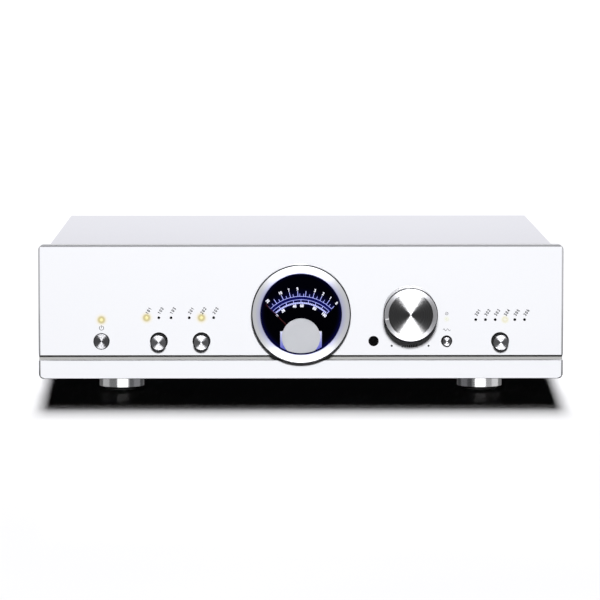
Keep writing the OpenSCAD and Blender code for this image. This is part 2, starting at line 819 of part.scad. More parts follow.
module panel_blank() {
    y0 = front_y;
    y1 = panel_back;
    half = panel_w / 2;
    intersection() {
        translate([0, y1, axis_z]) rotate([90, 0, 0])
            linear_extrude(panel_t) round_rect(panel_w, panel_h, panel_corner_r);
        translate([0, 0, panel_lift]) linear_extrude(panel_h) polygon([
            [-half, y1], [-half, y0 + panel_edge], [-half + panel_edge, y0],
            [half - panel_edge, y0], [half, y0 + panel_edge], [half, y1]]);
        translate([-half, 0, 0]) rotate([90, 0, 90]) linear_extrude(panel_w) polygon([
            [y1, panel_lift], [y1, panel_top], [y0 + panel_edge, panel_top],
            [y0, panel_top - panel_edge], [y0, panel_lift + panel_foot_edge],
            [y0 + panel_foot_edge, panel_lift]]);
    }
}

module front_panel() {
    through = panel_t + 2 * cut;
    color("whitesmoke") difference() {
        panel_blank();
        slab([-panel_w, front_y - cut, panel_lift + groove_z],
            [panel_w, front_y + groove_depth, panel_lift + groove_z + groove_h]);
        slab([-case_w / 2 - loose_fit, panel_back - tongue - loose_fit, lid_z - loose_fit],
            [case_w / 2 + loose_fit, panel_back + cut, cover_z + loose_fit]);
        on_panel(0, meter_z, -cut) cylinder(r = can_r + loose_fit, h = through);
        on_panel(volume_x, axis_z, -cut) cylinder(r = nut_hole_r, h = through);
        for (b = momentary)
            on_panel(b[0], row_z, -cut) cylinder(r = b[1] + slide_fit + sleeve_wall + seat_fit, h = through);
        on_panel(power_x, row_z, -cut) cylinder(r = button_r + slide_fit, h = through);
        on_panel(power_x, row_z, power_counter) cylinder(r = power_flange_r + loose_fit, h = through);
        for (l = lamps) on_panel(l[0], l[1], -cut) cylinder(r = lamp_r + seat_fit, h = through);
        on_panel(remote_x, row_z, -cut) cylinder(r = remote_r + seat_fit, h = remote_t + cut);
        on_panel(remote_x, row_z, -cut) cylinder(r = remote_r - remote_ledge, h = through);
        at_bezel_screws(-cut) cylinder(r = bezel_screw_r + loose_fit, h = through);
        at_bezel_screws(bezel_screw_seat) cylinder(r = bezel_head_r + loose_fit, h = through);
        at_panel_screws() translate([0, 0, -post_s - sub_t - panel_screw_grip - end_gap])
            cylinder(r = panel_screw_r + seat_fit, h = panel_screw_grip + end_gap + cut);
    }
}

module sub_panel() {
    color("darkgray") difference() {
        standing_plate(panel_back, sub_t);
        on_panel(0, meter_z, panel_t - cut) cylinder(r = can_r + loose_fit, h = sub_t + 2 * cut);
        on_panel(volume_x, axis_z, panel_t - cut) cylinder(r = bush_r + seat_fit, h = sub_t + 2 * cut);
        for (x = [power_x, left_x, centre_x, tone_x, input_x])
            on_panel(x, row_z, panel_t - cut) cylinder(r = stem_hole_r, h = sub_t + 2 * cut);
        for (l = lamps)
            on_panel(l[0], l[1], panel_t - cut) cylinder(r = lamp_r + loose_fit, h = sub_t + 2 * cut);
        on_panel(remote_x, row_z, panel_t - cut) cylinder(r = remote_r - remote_ledge, h = sub_t + 2 * cut);
        at_panel_screws() screw_hole(panel_screw_r + loose_fit, post_s + sub_t + 2 * cut);
    }
}

module side_panel(side) {
    inner = side * inner_w / 2;
    outer = side * case_w / 2;
    low = axis_z - vent_h / 2;
    difference() {
        slab([min(inner, outer), panel_back, deck_z], [max(inner, outer), rear_y, lid_z]);
        at_side_screws(side) screw_hole(screw_r + loose_fit, side_t + cut);
        for (i = [0 : vent_n - 1]) translate([outer, vent_y + i * vent_pitch, low]) {
            slab([-side_t - cut, -vent_w / 2, 0], [side_t + cut, vent_w / 2, vent_h]);
            for (z = [0, vent_h]) translate([0, 0, z]) rotate([0, 90, 0])
                cylinder(r = vent_w / 2, h = 2 * (side_t + cut), center = true);
        }
    }
}
module left_side_panel() {
    color("gainsboro") side_panel(-1);
}
module right_side_panel() {
    color("gainsboro") side_panel(1);
}

module rear_panel() {
    color("gainsboro") difference() {
        standing_plate(rear_y - rear_t, rear_t);
        at_rear_screws() screw_hole(screw_r + loose_fit, rear_t + cut);
        at_lip_screws() screw_hole(screw_r + seat_fit, screw_l);
        for (x = jack_xs, z = jack_zs)
            on_rear(x, z, -rear_t - cut) cylinder(r = jack_thread_r + seat_fit, h = rear_t + 2 * cut);
        slab([inlet_x - inlet_body_w / 2 - loose_fit, rear_y - rear_t - cut,
                inlet_z - inlet_body_h / 2 - loose_fit],
            [inlet_x + inlet_body_w / 2 + loose_fit, rear_y + cut, inlet_z + inlet_body_h / 2 + loose_fit]);
    }
}

module bottom_plate() {
    color("silver") difference() {
        slab([-case_w / 2, panel_back, floor_z], [case_w / 2, rear_y, deck_z]);
        at_floor_screws() screw_hole(screw_r + loose_fit, bottom_t + cut);
        at_feet() translate([0, 0, floor_z - cut])
            cylinder(r = foot_screw_r + seat_fit, h = bottom_t + 2 * cut);
        translate(core_spot + [0, 0, floor_z - cut])
            cylinder(r = clamp_bolt_r + seat_fit, h = bottom_t + 2 * cut);
    }
}

module top_cover() {
    color("gainsboro") difference() {
        union() {
            slab([-case_w / 2, panel_back - tongue, lid_z], [case_w / 2, rear_y + top_t, cover_z]);
            slab([-case_w / 2, rear_y, cover_z - lip_h], [case_w / 2, rear_y + top_t, cover_z]);
        }
        at_lip_screws() screw_hole(screw_r + loose_fit, top_t + cut);
    }
}

module corner_posts() {
    color("silver") difference() {
        for (y = [front_post_y, rear_post_y]) at_posts(y)
            slab([-post_s / 2, -post_s / 2, deck_z], [post_s / 2, post_s / 2, lid_z]);
        for (side = [-1, 1]) at_side_screws(side) screw_hole(screw_r + seat_fit, screw_l + end_gap);
        at_floor_screws() screw_hole(screw_r + seat_fit, screw_l + end_gap);
        at_rear_screws() screw_hole(screw_r + seat_fit, screw_l + end_gap);
        at_panel_screws() screw_hole(panel_screw_r + loose_fit, post_s + cut);
    }
}

module case_screws() {
    color("dimgray") {
        for (side = [-1, 1]) at_side_screws(side) round_screw(screw_r, screw_l, head_r, head_h);
        at_floor_screws() round_screw(screw_r, screw_l, head_r, head_h);
        at_rear_screws() round_screw(screw_r, screw_l, head_r, head_h);
        at_lip_screws() round_screw(screw_r, screw_l, head_r, head_h);
    }
}

module panel_screws() {
    color("dimgray") at_panel_screws()
        round_screw(panel_screw_r, post_s + sub_t + panel_screw_grip, panel_head_r, panel_head_h);
}

module feet() {
    r = foot_d / 2;
    seat_z = pad_proud + pad_seat;
    seat_r = pad_d / 2 + seat_fit;
    hole_r = foot_screw_r + loose_fit;
    color("silver") at_feet() rotate_extrude() polygon([
        [hole_r, seat_z], [seat_r, seat_z], [seat_r, pad_proud], [r - foot_edge, pad_proud],
        [r, pad_proud + foot_edge], [r, floor_z], [hole_r, floor_z]]);
}

module foot_pads() {
    color("black") at_feet() difference() {
        cylinder(d = pad_d, h = pad_proud + pad_seat);
        translate([0, 0, -cut]) cylinder(r = pad_hole_r, h = pad_proud + pad_seat + 2 * cut);
    }
}

module foot_screws() {
    seat_z = pad_proud + pad_seat;
    color("dimgray") at_feet() translate([0, 0, seat_z]) rotate([180, 0, 0])
        round_screw(foot_screw_r, deck_z - seat_z, foot_head_r, foot_head_h);
}

// Meter

module meter_bezel() {
    seat = -lens_set;
    color("silver") difference() {
        on_panel(0, meter_z) rotate_extrude() polygon([
            [bezel_bore_r, 0], [bezel_r, 0], [bezel_r, bezel_edge - bezel_out],
            [bezel_r - bezel_edge, -bezel_out], [window_r + bezel_lip, -bezel_out],
            [window_r, bezel_lip - bezel_out], [window_r, seat], [bezel_bore_r, seat]]);
        at_bezel_screws(-bezel_screw_grip - end_gap)
            cylinder(r = bezel_screw_r + seat_fit, h = bezel_screw_grip + end_gap + cut);
    }
}

module meter_lens() {
    color("lightblue", 0.4) on_panel(0, meter_z, -lens_set) cylinder(r = lens_r, h = lens_t);
}

module meter_can() {
    color("dimgray") on_panel(0, meter_z) rotate_extrude() polygon([
        [can_inner_r, lens_back], [can_r, lens_back], [can_r, can_depth], [0, can_depth],
        [0, can_depth - can_wall], [can_inner_r, can_depth - can_wall]]);
}

module meter_dial() {
    color("midnightblue") difference() {
        on_panel(0, meter_z, dial_front) cylinder(r = meter_inner_r, h = dial_t);
        on_panel(0, pivot_z, dial_front - cut) cylinder(r = hub_r, h = dial_t + 2 * cut);
    }
}

// Space inside the can, in front of the dial
module meter_well() {
    on_panel(0, meter_z, lens_back) cylinder(r = meter_inner_r, h = dial_front - lens_back);
}

module meter_light_guides() {
    color("aliceblue") for (side = [-1, 1]) intersection() {
        meter_well();
        slab([min(side * guide_x, side * (guide_x - guide_w)), front_y + pivot_cover_back, meter_z - can_r],
            [max(side * guide_x, side * (guide_x - guide_w)), front_y + dial_front, meter_z - guide_drop]);
    }
}

module meter_pivot_cover() {
    color("lightgray") intersection() {
        meter_well();
        on_panel(0, meter_z - pivot_cover_drop, pivot_cover_front)
            cylinder(r = pivot_cover_r, h = pivot_cover_t);
    }
}

module meter_movement() {
    color("gray") difference() {
        on_panel(0, pivot_z, dial_back) cylinder(r = movement_r, h = movement_l);
        on_panel(0, pivot_z, dial_back - cut)
            cylinder(r = spindle_r + run_fit, h = movement_bore_end - dial_back + cut);
    }
}

module meter_needle() {
    tip_w = needle_w / 2;
    color("darkred") on_panel(0, pivot_z) {
        translate([0, 0, needle_mid - hub_l / 2]) cylinder(r = hub_r, h = hub_l);
        translate([0, 0, needle_mid]) cylinder(r = spindle_r, h = spindle_end - needle_mid);
        rotate(needle_rest) translate([0, 0, needle_mid - needle_t / 2]) linear_extrude(needle_t) {
            polygon([[-needle_w / 2, needle_tail], [-tip_w / 2, -needle_l],
                [tip_w / 2, -needle_l], [needle_w / 2, needle_tail]]);
            translate([0, needle_tail]) circle(r = weight_r);
        }
    }
}

module meter_lamp_board() {
    color("darkgreen") slab([-lamp_board_w / 2, front_y + dial_back, meter_z],
        [lamp_board_w / 2, front_y + dial_back + board_t, meter_z + lamp_board_h]);
}

module bezel_screws() {
    color("dimgray") at_bezel_screws(bezel_screw_seat)
        round_screw(bezel_screw_r, bezel_screw_seat + bezel_screw_grip, bezel_head_r, bezel_head_h);
}

// Volume control

module volume_knob() {
    bore_r = shaft_r + seat_fit;
    face = -knob_out;
    color("silver") on_panel(volume_x, axis_z) difference() {
        rotate_extrude() polygon([
            [bore_r, -knob_gap], [knob_r - knob_edge, -knob_gap], [knob_r, -knob_gap - knob_edge],
            [knob_r, face + knob_edge], [knob_r - knob_edge, face], [knob_disc_r, face],
            [knob_disc_r, face + knob_disc_depth], [0, face + knob_disc_depth],
            [0, bore_front], [bore_r, bore_front]]);
        rotate(pointer_angle) slab([-pointer_w / 2, -knob_r - cut, face - cut],
            [pointer_w / 2, -knob_disc_r, face + pointer_depth]);
        rotate(pointer_angle) translate([0, 0, grub_at]) rotate([-90, 0, 0])
            cylinder(r = grub_r + seat_fit, h = knob_r + cut);
    }
}

module knob_grub_screw() {
    color("dimgray") on_panel(volume_x, axis_z) rotate(pointer_angle) translate([0, 0, grub_at])
        rotate([-90, 0, 0]) translate([0, 0, shaft_r + seat_fit]) cylinder(r = grub_r, h = grub_l);
}

module volume_shaft() {
    color("gainsboro") on_panel(volume_x, axis_z, shaft_front)
        cylinder(r = shaft_r, h = motor_plate_back - shaft_front);
}

module volume_pot() {
    tail = gear_centres + motor_r;
    half = pot_s / 2;
    color("slategray") difference() {
        on_panel(volume_x, axis_z) {
            slab([-half, -half, pot_front], [half, half, pot_back]);
            translate([0, 0, pot_front - sub_t - bush_l]) cylinder(r = bush_r, h = sub_t + bush_l + cut);
            for (x = [-pillar_at, pillar_at], y = [-pillar_at, pillar_at])
                translate([x, y, pot_back - cut]) cylinder(r = pillar_r, h = gear_room + 2 * cut);
            slab([-half, -half, motor_plate_front], [half, tail, motor_plate_back]);
        }
        on_panel(volume_x, axis_z, shaft_front)
            cylinder(r = shaft_r + run_fit, h = motor_plate_back + cut - shaft_front);
        on_panel(volume_x, motor_z, motor_plate_front - cut)
            cylinder(r = motor_shaft_r + loose_fit, h = motor_plate_t + 2 * cut);
    }
}

module pot_nut() {
    color("gold") on_panel(volume_x, axis_z, panel_t - nut_t) difference() {
        cylinder(d = nut_d, h = nut_t, $fn = 6);
        translate([0, 0, -cut]) cylinder(r = bush_r + seat_fit, h = nut_t + 2 * cut);
    }
}

module shaft_gear() {
    color("ivory") on_panel(volume_x, axis_z, gear_front) difference() {
        rotate(90) spur_gear(gear_teeth);
        translate([0, 0, -cut]) cylinder(r = shaft_r + seat_fit, h = gear_w + 2 * cut);
    }
}

module motor_pinion() {
    shaft_l = motor_plate_back + motor_shaft_grip - gear_front;
    color("gold") on_panel(volume_x, motor_z, gear_front) {
        rotate(-90 + 180 / pinion_teeth) spur_gear(pinion_teeth);
        cylinder(r = motor_shaft_r, h = shaft_l);
    }
}

module volume_motor() {
    color("gray") on_panel(volume_x, motor_z, motor_plate_back) difference() {
        cylinder(r = motor_r, h = motor_l);
        translate([0, 0, -cut]) cylinder(r = motor_shaft_r + run_fit, h = motor_shaft_grip + end_gap + cut);
    }
}

// Buttons

// Turned button: face, rear flange that starts at the given depth, and stem
module push_button(r, out, flange_r, flange_at, end) {
    rotate_extrude() polygon([
        [0, -out], [r - button_edge, -out], [r, button_edge - out], [r, flange_at],
        [flange_r, flange_at], [flange_r, flange_at + flange_t], [stem_r, flange_at + flange_t],
        [stem_r, end], [0, end]]);
}
module momentary_button(x, r, out) {
    color("silver") on_panel(x, row_z) push_button(r, out, r + flange_step, flange_front, stem_end);
}
module power_button() {
    color("silver") on_panel(power_x, row_z)
        push_button(button_r, power_out, power_flange_r, power_flange_front, power_stem_end);
}
module left_select_button() {
    momentary_button(left_x, button_r, button_out);
}
module centre_select_button() {
    momentary_button(centre_x, button_r, button_out);
}
module input_button() {
    momentary_button(input_x, button_r, button_out);
}
module tone_button() {
    momentary_button(tone_x, tone_r, tone_out);
}

module button_sleeves() {
    color("black") for (b = momentary) on_panel(b[0], row_z, -sleeve_proud) difference() {
        cylinder(r = b[1] + slide_fit + sleeve_wall, h = sleeve_l + sleeve_proud);
        translate([0, 0, -cut]) cylinder(r = b[1] + slide_fit, h = sleeve_l + sleeve_proud + 2 * cut);
    }
}

// Square switch with a well for a button's stem
module stem_switch(x, s, front, back, well) {
    on_panel(x, row_z) difference() {
        slab([-s / 2, -s / 2, front], [s / 2, s / 2, back]);
        translate([0, 0, front - cut]) cylinder(r = stem_r + slide_fit, h = well - front + cut);
    }
}
module power_switch() {
    color("black") stem_switch(power_x, power_switch_s, pot_front, pot_front + power_switch_l, power_well);
}
module push_switches() {
    color("black") for (b = momentary) stem_switch(b[0], switch_s, switch_front, switch_back, stem_well);
}

// Lamps, remote eye and the boards behind the panel

module lamp(l) {
    base_at = switch_back - lamp_base_l;
    on_panel(l[0], l[1]) rotate_extrude() polygon([
        [0, -lamp_proud], [lamp_r - lamp_proud, -lamp_proud], [lamp_r, 0], [lamp_r, base_at],
        [lamp_base_r, base_at], [lamp_base_r, switch_back], [0, switch_back]]);
}
module lamps_lit() {
    color("gold") for (l = lamps) if (l[2]) lamp(l);
}
module lamps_dark() {
    color("black") for (l = lamps) if (!l[2]) lamp(l);
}

module remote_window() {
    color("black") on_panel(remote_x, row_z) cylinder(r = remote_r, h = remote_t);
}
module remote_receiver() {
    s = receiver_s;
    color("dimgray") on_panel(remote_x, row_z) {
        slab([-s / 2, -s / 2, pot_front], [s / 2, s / 2, pot_front + receiver_l]);
        translate([0, 0, remote_t])
            cylinder(r = remote_r - remote_ledge - loose_fit, h = pot_front - remote_t + cut);
    }
}

module control_board(xs) {
    slab([xs[0], board_front, board_low], [xs[1], board_front + board_t, board_high]);
}
module control_boards() {
    color("darkgreen") {
        control_board(left_board);
        slab([power_x - lamp_base_r - board_rim, board_front, input_lamp_z - lamp_base_r - board_rim],
            [left_board[0] + cut, board_front + board_t, board_high]);
        control_board(right_board);
    }
}

module spacer() {
    cylinder(r = spacer_r, h = spacer_l);
}
module board_spacers() {
    color("gold") {
        for (xs = [left_board, right_board], x = [xs[0] + spacer_inset, xs[1] - spacer_inset],
                z = [board_low + spacer_inset, board_high - spacer_inset])
            on_panel(x, z, pot_front) spacer();
        for (x = [-1, 1], y = [-1, 0, 1])
            translate([main_x + x * (main_w / 2 - main_inset),
                main_y + y * (main_d / 2 - main_inset), deck_z]) spacer();
    }
}

// Main board and what stands on it

module main_board() {
    color("darkgreen") slab([main_x - main_w / 2, main_y - main_d / 2, main_z],
        [main_x + main_w / 2, main_y + main_d / 2, main_top]);
}

module tube_sockets() {
    color("ivory") for (spot = tube_spots) translate(spot + [0, 0, main_top])
        cylinder(r = tube_r + tube_socket_edge, h = tube_socket_h);
}

// Glass envelope with a round top, drawn to a short tip
module tube_bulbs() {
    color("lightcyan", 0.4) for (spot = tube_spots) translate(spot + [0, 0, tube_base_z]) difference() {
        union() {
            cylinder(r = tube_r, h = tube_h - tube_r);
            translate([0, 0, tube_h - tube_r]) sphere(r = tube_r);
        }
        translate([0, 0, tube_floor]) cylinder(r = tube_r - glass_t, h = tube_h - tube_r - tube_floor);
        translate([0, 0, tube_h - tube_r]) sphere(r = tube_r - glass_t);
    }
}

module tube_electrodes() {
    color("dimgray") for (spot = tube_spots) translate(spot + [0, 0, tube_base_z + tube_floor]) {
        cylinder(r = plate_r, h = plate_h);
        for (z = [mica_z, plate_h - mica_t])
            translate([0, 0, z]) cylinder(r = tube_r - glass_t - loose_fit, h = mica_t);
    }
}

module capacitors() {
    color("darkblue") for (x = capacitor_xs) {
        translate([x, main_y + filter_y, main_top]) cylinder(r = filter_r, h = filter_h);
        translate([x, main_y - coupling_y, main_top + coupling_r + loose_fit]) rotate([0, 90, 0])
            cylinder(r = coupling_r, h = coupling_l, center = true);
    }
}

module relays() {
    y1 = main_y + main_d / 2 - relay_inset;
    color("black") for (x = jack_xs)
        slab([x - relay_w / 2, y1 - relay_d, main_top], [x + relay_w / 2, y1, main_top + relay_h]);
}

module transformer() {
    wall = core_r - core_hole_r;
    color("goldenrod") translate(core_spot + [0, 0, deck_z]) rotate_extrude()
        translate([core_hole_r + wall / 2, core_h / 2]) round_rect(wall, core_h, core_round);
}
module clamp_plate() {
    color("gray") translate(core_spot + [0, 0, deck_z + core_h]) difference() {
        cylinder(r = clamp_r, h = clamp_t);
        translate([0, 0, -cut]) cylinder(r = clamp_bolt_r + loose_fit, h = clamp_t + 2 * cut);
    }
}
module clamp_bolt() {
    bolt_l = core_h + clamp_t + bottom_t;
    color("dimgray") translate(core_spot + [0, 0, deck_z + core_h + clamp_t])
        round_screw(clamp_bolt_r, bolt_l, clamp_bolt_r * head_wide, clamp_bolt_r * head_high);
}

// Rear connections

module phono_jacks() {
    mouth = jack_out - insulator_t;
    color("gold") for (x = jack_xs, z = jack_zs) on_rear(x, z) rotate_extrude() polygon([
        [0, -jack_inside], [jack_thread_r, -jack_inside], [jack_thread_r, 0], [jack_collar_r, 0],
        [jack_collar_r, jack_collar_t], [jack_r, jack_collar_t], [jack_r, jack_out],
        [insulator_r + seat_fit, jack_out], [insulator_r + seat_fit, mouth], [jack_bore_r, mouth],
        [jack_bore_r, mouth - jack_bore_l], [0, mouth - jack_bore_l]]);
}
module jack_insulators() {
    color("white") for (x = jack_xs, z = jack_zs) on_rear(x, z, jack_out - insulator_t) difference() {
        cylinder(r = insulator_r, h = insulator_t);
        translate([0, 0, -cut]) cylinder(r = jack_bore_r + loose_fit, h = insulator_t + 2 * cut);
    }
}

// Socket's opening: a rectangle with bevelled lower corners, about its centre
module socket_outline() {
    w = socket_w / 2;
    h = socket_h / 2;
    polygon([[-w, -h], [w, -h], [w, h - socket_bevel], [w - socket_bevel, h],
        [socket_bevel - w, h], [-w, h - socket_bevel]]);
}
module mains_inlet() {
    pocket_back = inlet_face - drawer_l - end_gap;
    color("black") difference() {
        union() {
            slab([inlet_x - inlet_w / 2, rear_y, inlet_z - inlet_h / 2],
                [inlet_x + inlet_w / 2, inlet_face, inlet_z + inlet_h / 2]);
            slab([inlet_x - inlet_body_w / 2, rear_y - inlet_l, inlet_z - inlet_body_h / 2],
                [inlet_x + inlet_body_w / 2, rear_y + cut, inlet_z + inlet_body_h / 2]);
        }
        on_rear(inlet_x, socket_z, inlet_flange_t - socket_l)
            linear_extrude(socket_l + cut) socket_outline();
        slab([inlet_x - drawer_w / 2, pocket_back, drawer_z - drawer_h / 2],
            [inlet_x + drawer_w / 2, inlet_face + cut, drawer_z + drawer_h / 2]);
    }
}
module inlet_blades() {
    color("gold") for (b = blades)
        slab([inlet_x + b[0] - blade_w / 2, socket_floor, socket_z + b[1] - blade_h / 2],
            [inlet_x + b[0] + blade_w / 2, inlet_face - blade_tip, socket_z + b[1] + blade_h / 2]);
}
module fuse_drawer() {
    w = drawer_w / 2 - drawer_fit;
    h = drawer_h / 2 - drawer_fit;
    color("dimgray") {
        slab([inlet_x - w, inlet_face - drawer_l, drawer_z - h],
            [inlet_x + w, inlet_face + drawer_proud, drawer_z + h]);
        slab([inlet_x - w / 2, inlet_face, drawer_z + h - grip_inset - grip_h],
            [inlet_x + w / 2, inlet_face + drawer_proud + grip_out, drawer_z + h - grip_inset]);
    }
}

module wiring() {
    color("firebrick") {
        lead(mains_route, lead_r);
        lead(signal_route, lead_r);
    }
}

front_panel();
sub_panel();
left_side_panel();
right_side_panel();
rear_panel();
bottom_plate();
top_cover();
corner_posts();
case_screws();
panel_screws();
feet();
foot_pads();
foot_screws();
meter_bezel();
meter_lens();
meter_can();
meter_dial();
meter_light_guides();
meter_pivot_cover();
meter_movement();
meter_needle();
meter_lamp_board();
bezel_screws();
volume_knob();
knob_grub_screw();
volume_shaft();
volume_pot();
pot_nut();
shaft_gear();
motor_pinion();
volume_motor();
power_button();
left_select_button();
centre_select_button();
input_button();
tone_button();
button_sleeves();
power_switch();
push_switches();
control_boards();
board_spacers();
lamps_lit();
lamps_dark();
remote_window();
remote_receiver();
main_board();
tube_sockets();
tube_bulbs();
tube_electrodes();
capacitors();
relays();
transformer();
clamp_plate();
clamp_bolt();
phono_jacks();
jack_insulators();
mains_inlet();
inlet_blades();
fuse_drawer();
wiring();
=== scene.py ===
"""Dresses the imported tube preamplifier: turned metal, a lit dial, printed marks, lamps, glass and plastics.

Sizes here are millimetres in the part's own frame, and meshes are made in metres.
"""
import json
import math

import bmesh
import bpy
import numpy as np
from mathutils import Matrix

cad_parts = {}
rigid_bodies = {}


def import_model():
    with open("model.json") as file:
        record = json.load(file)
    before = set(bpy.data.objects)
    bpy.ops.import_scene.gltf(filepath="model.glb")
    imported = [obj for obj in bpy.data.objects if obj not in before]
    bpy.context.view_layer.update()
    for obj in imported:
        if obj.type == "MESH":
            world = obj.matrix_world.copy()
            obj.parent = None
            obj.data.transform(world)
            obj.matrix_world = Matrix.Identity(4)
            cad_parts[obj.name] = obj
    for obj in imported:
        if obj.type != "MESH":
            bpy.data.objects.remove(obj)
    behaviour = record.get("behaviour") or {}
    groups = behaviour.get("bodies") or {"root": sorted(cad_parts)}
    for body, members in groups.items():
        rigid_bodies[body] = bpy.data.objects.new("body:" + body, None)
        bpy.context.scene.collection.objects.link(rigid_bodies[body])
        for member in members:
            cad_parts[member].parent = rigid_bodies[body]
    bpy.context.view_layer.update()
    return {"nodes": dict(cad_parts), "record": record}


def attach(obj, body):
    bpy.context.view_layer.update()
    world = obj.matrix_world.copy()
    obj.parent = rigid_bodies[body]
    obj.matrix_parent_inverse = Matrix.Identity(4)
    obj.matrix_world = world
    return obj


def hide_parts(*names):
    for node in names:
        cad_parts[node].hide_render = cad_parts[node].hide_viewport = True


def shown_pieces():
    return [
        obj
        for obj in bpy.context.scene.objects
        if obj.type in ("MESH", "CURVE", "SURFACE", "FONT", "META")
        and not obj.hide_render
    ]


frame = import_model()
nodes = frame["nodes"]

MM = 0.001

# Places that the pieces share with the solids
FRONT = -162.0
REAR = 176.0
LIFT = 12.2
AXIS_Z = LIFT + 55.0
METER_Z = AXIS_Z - 0.8
TOP_Z = LIFT + 110.0
HALF_W = 215.0
EDGE = 1.5
CORNER = 4.4
GROOVE = (LIFT + 15.0, LIFT + 19.5)
GROOVE_Y = FRONT + 7.5
ROW_Z = LIFT + 31.0
VOLUME_X = 89.0
PIVOT_Z = METER_Z - 21.7
DIAL_Y = FRONT + 1.2
SELECT_Z = LIFT + 50.3
INPUT_Z = LIFT + 48.6
POWER_X, LEFT_X, CENTRE_X, TONE_X, INPUT_X = -163.4, -116.4, -81.5, 119.4, 163.2
FEET = [(x, y) for x in (-148.5, 148.5) for y in (-121.0, 131.0)]

# How far the faces stand out from the panel
KNOB_OUT, BEZEL_OUT, POWER_OUT, SELECT_OUT, TONE_OUT = 26.6, 11.0, 1.6, 12.0, 4.5

# Lamplight, shown by each lit lamp and painted onto the panel round it: the lamps, where the painted glow
# starts to fade, how far it reaches, and its colours, by distance in units of 10 mm
BRIGHT_LAMPS = [(POWER_X, INPUT_Z), (LEFT_X - 10, SELECT_Z), (CENTRE_X, SELECT_Z)]
LAMPLIGHT = [
    (BRIGHT_LAMPS, 0.26, 0.62, [
        (0.0, "fffcc0"), (0.11, "fdf3b4"), (0.155, "dccf99"), (0.21, "d3c795"), (0.27, "dbd0a6"),
        (0.34, "eee6ca"), (0.42, "f8f1e0"), (0.55, "faf6ee")]),
    ([(INPUT_X + 4, INPUT_Z)], 0.24, 0.42, [
        (0.0, "f7f6e9"), (0.09, "f4f2e2"), (0.16, "edead0"), (0.23, "f1eedc"), (0.33, "f8f7ee")]),
    ([(TONE_X, INPUT_Z + 0.5)], 0.1, 0.34, [(0.0, "f0f2e2"), (0.1, "f1f3e6"), (0.2, "f6f7f0")]),
]


def linear(hex_colour):
    """Linear colour of an sRGB hex value, with full alpha."""
    srgb = np.array([int(hex_colour[i:i + 2], 16) for i in (0, 2, 4)]) / 255
    rgb = np.where(srgb <= 0.04045, srgb / 12.92, ((srgb + 0.055) / 1.055) ** 2.4)
    return (*rgb.tolist(), 1.0)


# Node trees

# Where most of a noise lies
LOW, HIGH = 0.3, 0.7


def set_inputs(tree, node, inputs):
    """Set a node's inputs, or link those that are sockets.

    A dict gives them by name or number, and a list gives them in order.
    """
    for key, value in inputs.items() if isinstance(inputs, dict) else enumerate(inputs):
        if isinstance(value, bpy.types.NodeSocket):
            tree.links.new(value, node.inputs[key])
        else:
            node.inputs[key].default_value = value


def add(tree, kind, inputs=(), out=0, stops=(), **settings):
    """Add a node with its settings and inputs, and give one of its outputs, if it has any.

    The stops of a colour ramp are (place, hex colour) pairs.
    """
    node = tree.nodes.new("ShaderNode" + kind)
    for key, value in settings.items():
        setattr(node, key, value)
    if stops:
        band = node.color_ramp.elements
        while len(band) < len(stops):
            band.new(1.0)
        for element, (at, colour) in zip(band, stops):
            element.position = at
            element.color = linear(colour)
    set_inputs(tree, node, inputs)
    return node.outputs[out] if len(node.outputs) else None


def surface(name):
    """New material, with its tree and its Principled shader."""
    mat = bpy.data.materials.new(name)
    mat.use_nodes = True
    tree = mat.node_tree
    return mat, tree, tree.nodes["Principled BSDF"]


def grain(tree, point, size_mm, detail=2.0, stretch=(1, 1, 1)):
    """Noise whose features are about size_mm across, drawn out along an axis by a smaller stretch."""
    scaled = add(tree, "Mapping", {"Vector": point, "Scale": stretch})
    return add(tree, "TexNoise", {"Vector": scaled, "Scale": 1 / (size_mm * MM), "Detail": detail})


def layered(tree, base, layers):
    """Colour with others laid over it in turn, each by its mask."""
    for mask, colour in layers:
        base = add(tree, "Mix", {0: mask, 6: base, 7: colour}, 2, data_type="RGBA")
    return base


def nearest(tree, point, lamps):
    """Distance across the panel to the nearest of the lamps, in units of 10 mm."""
    flat = add(tree, "VectorMath", (point, (1, 0, 1)), operation="MULTIPLY")
    found = None
    for x, z in lamps:
        away = add(tree, "VectorMath", (flat, (x * MM, 0, z * MM)), "Value", operation="DISTANCE")
        found = away if found is None else add(tree, "Math", (found, away), operation="MINIMUM")
    return add(tree, "Math", (found, 1 / (10 * MM)), operation="MULTIPLY")


def dial_share(tree, point, middle_z, reach):
    """Distance from a point on the dial's upright midline, as a share of a reach in millimetres."""
    away = add(tree, "VectorMath", (point, (0, DIAL_Y * MM, middle_z * MM)), "Value", operation="DISTANCE")
    return add(tree, "Math", (away, 1 / (reach * MM)), operation="MULTIPLY")


def speckled(name, dark, light, size_mm, rough, metallic=0.0, depth_mm=0.01, stretch=(1, 1, 1), specular=0.5):
    """Material with a fine two-tone grain, roughness that follows it and a shallow relief."""
    mat, tree, shader = surface(name)
    noise = grain(tree, add(tree, "TexCoord", out="Object"), size_mm, stretch=stretch)
    set_inputs(tree, shader, {
        "Base Color": add(tree, "ValToRGB", [noise], stops=[(LOW, dark), (HIGH, light)]),
        "Metallic": metallic,
        "Roughness": add(tree, "MapRange", (noise, LOW, HIGH, *rough)),
        "Specular IOR Level": specular,
        "Normal": add(tree, "Bump", {"Height": noise, "Distance": depth_mm * MM, "Strength": 0.4})})
    return mat


# Materials

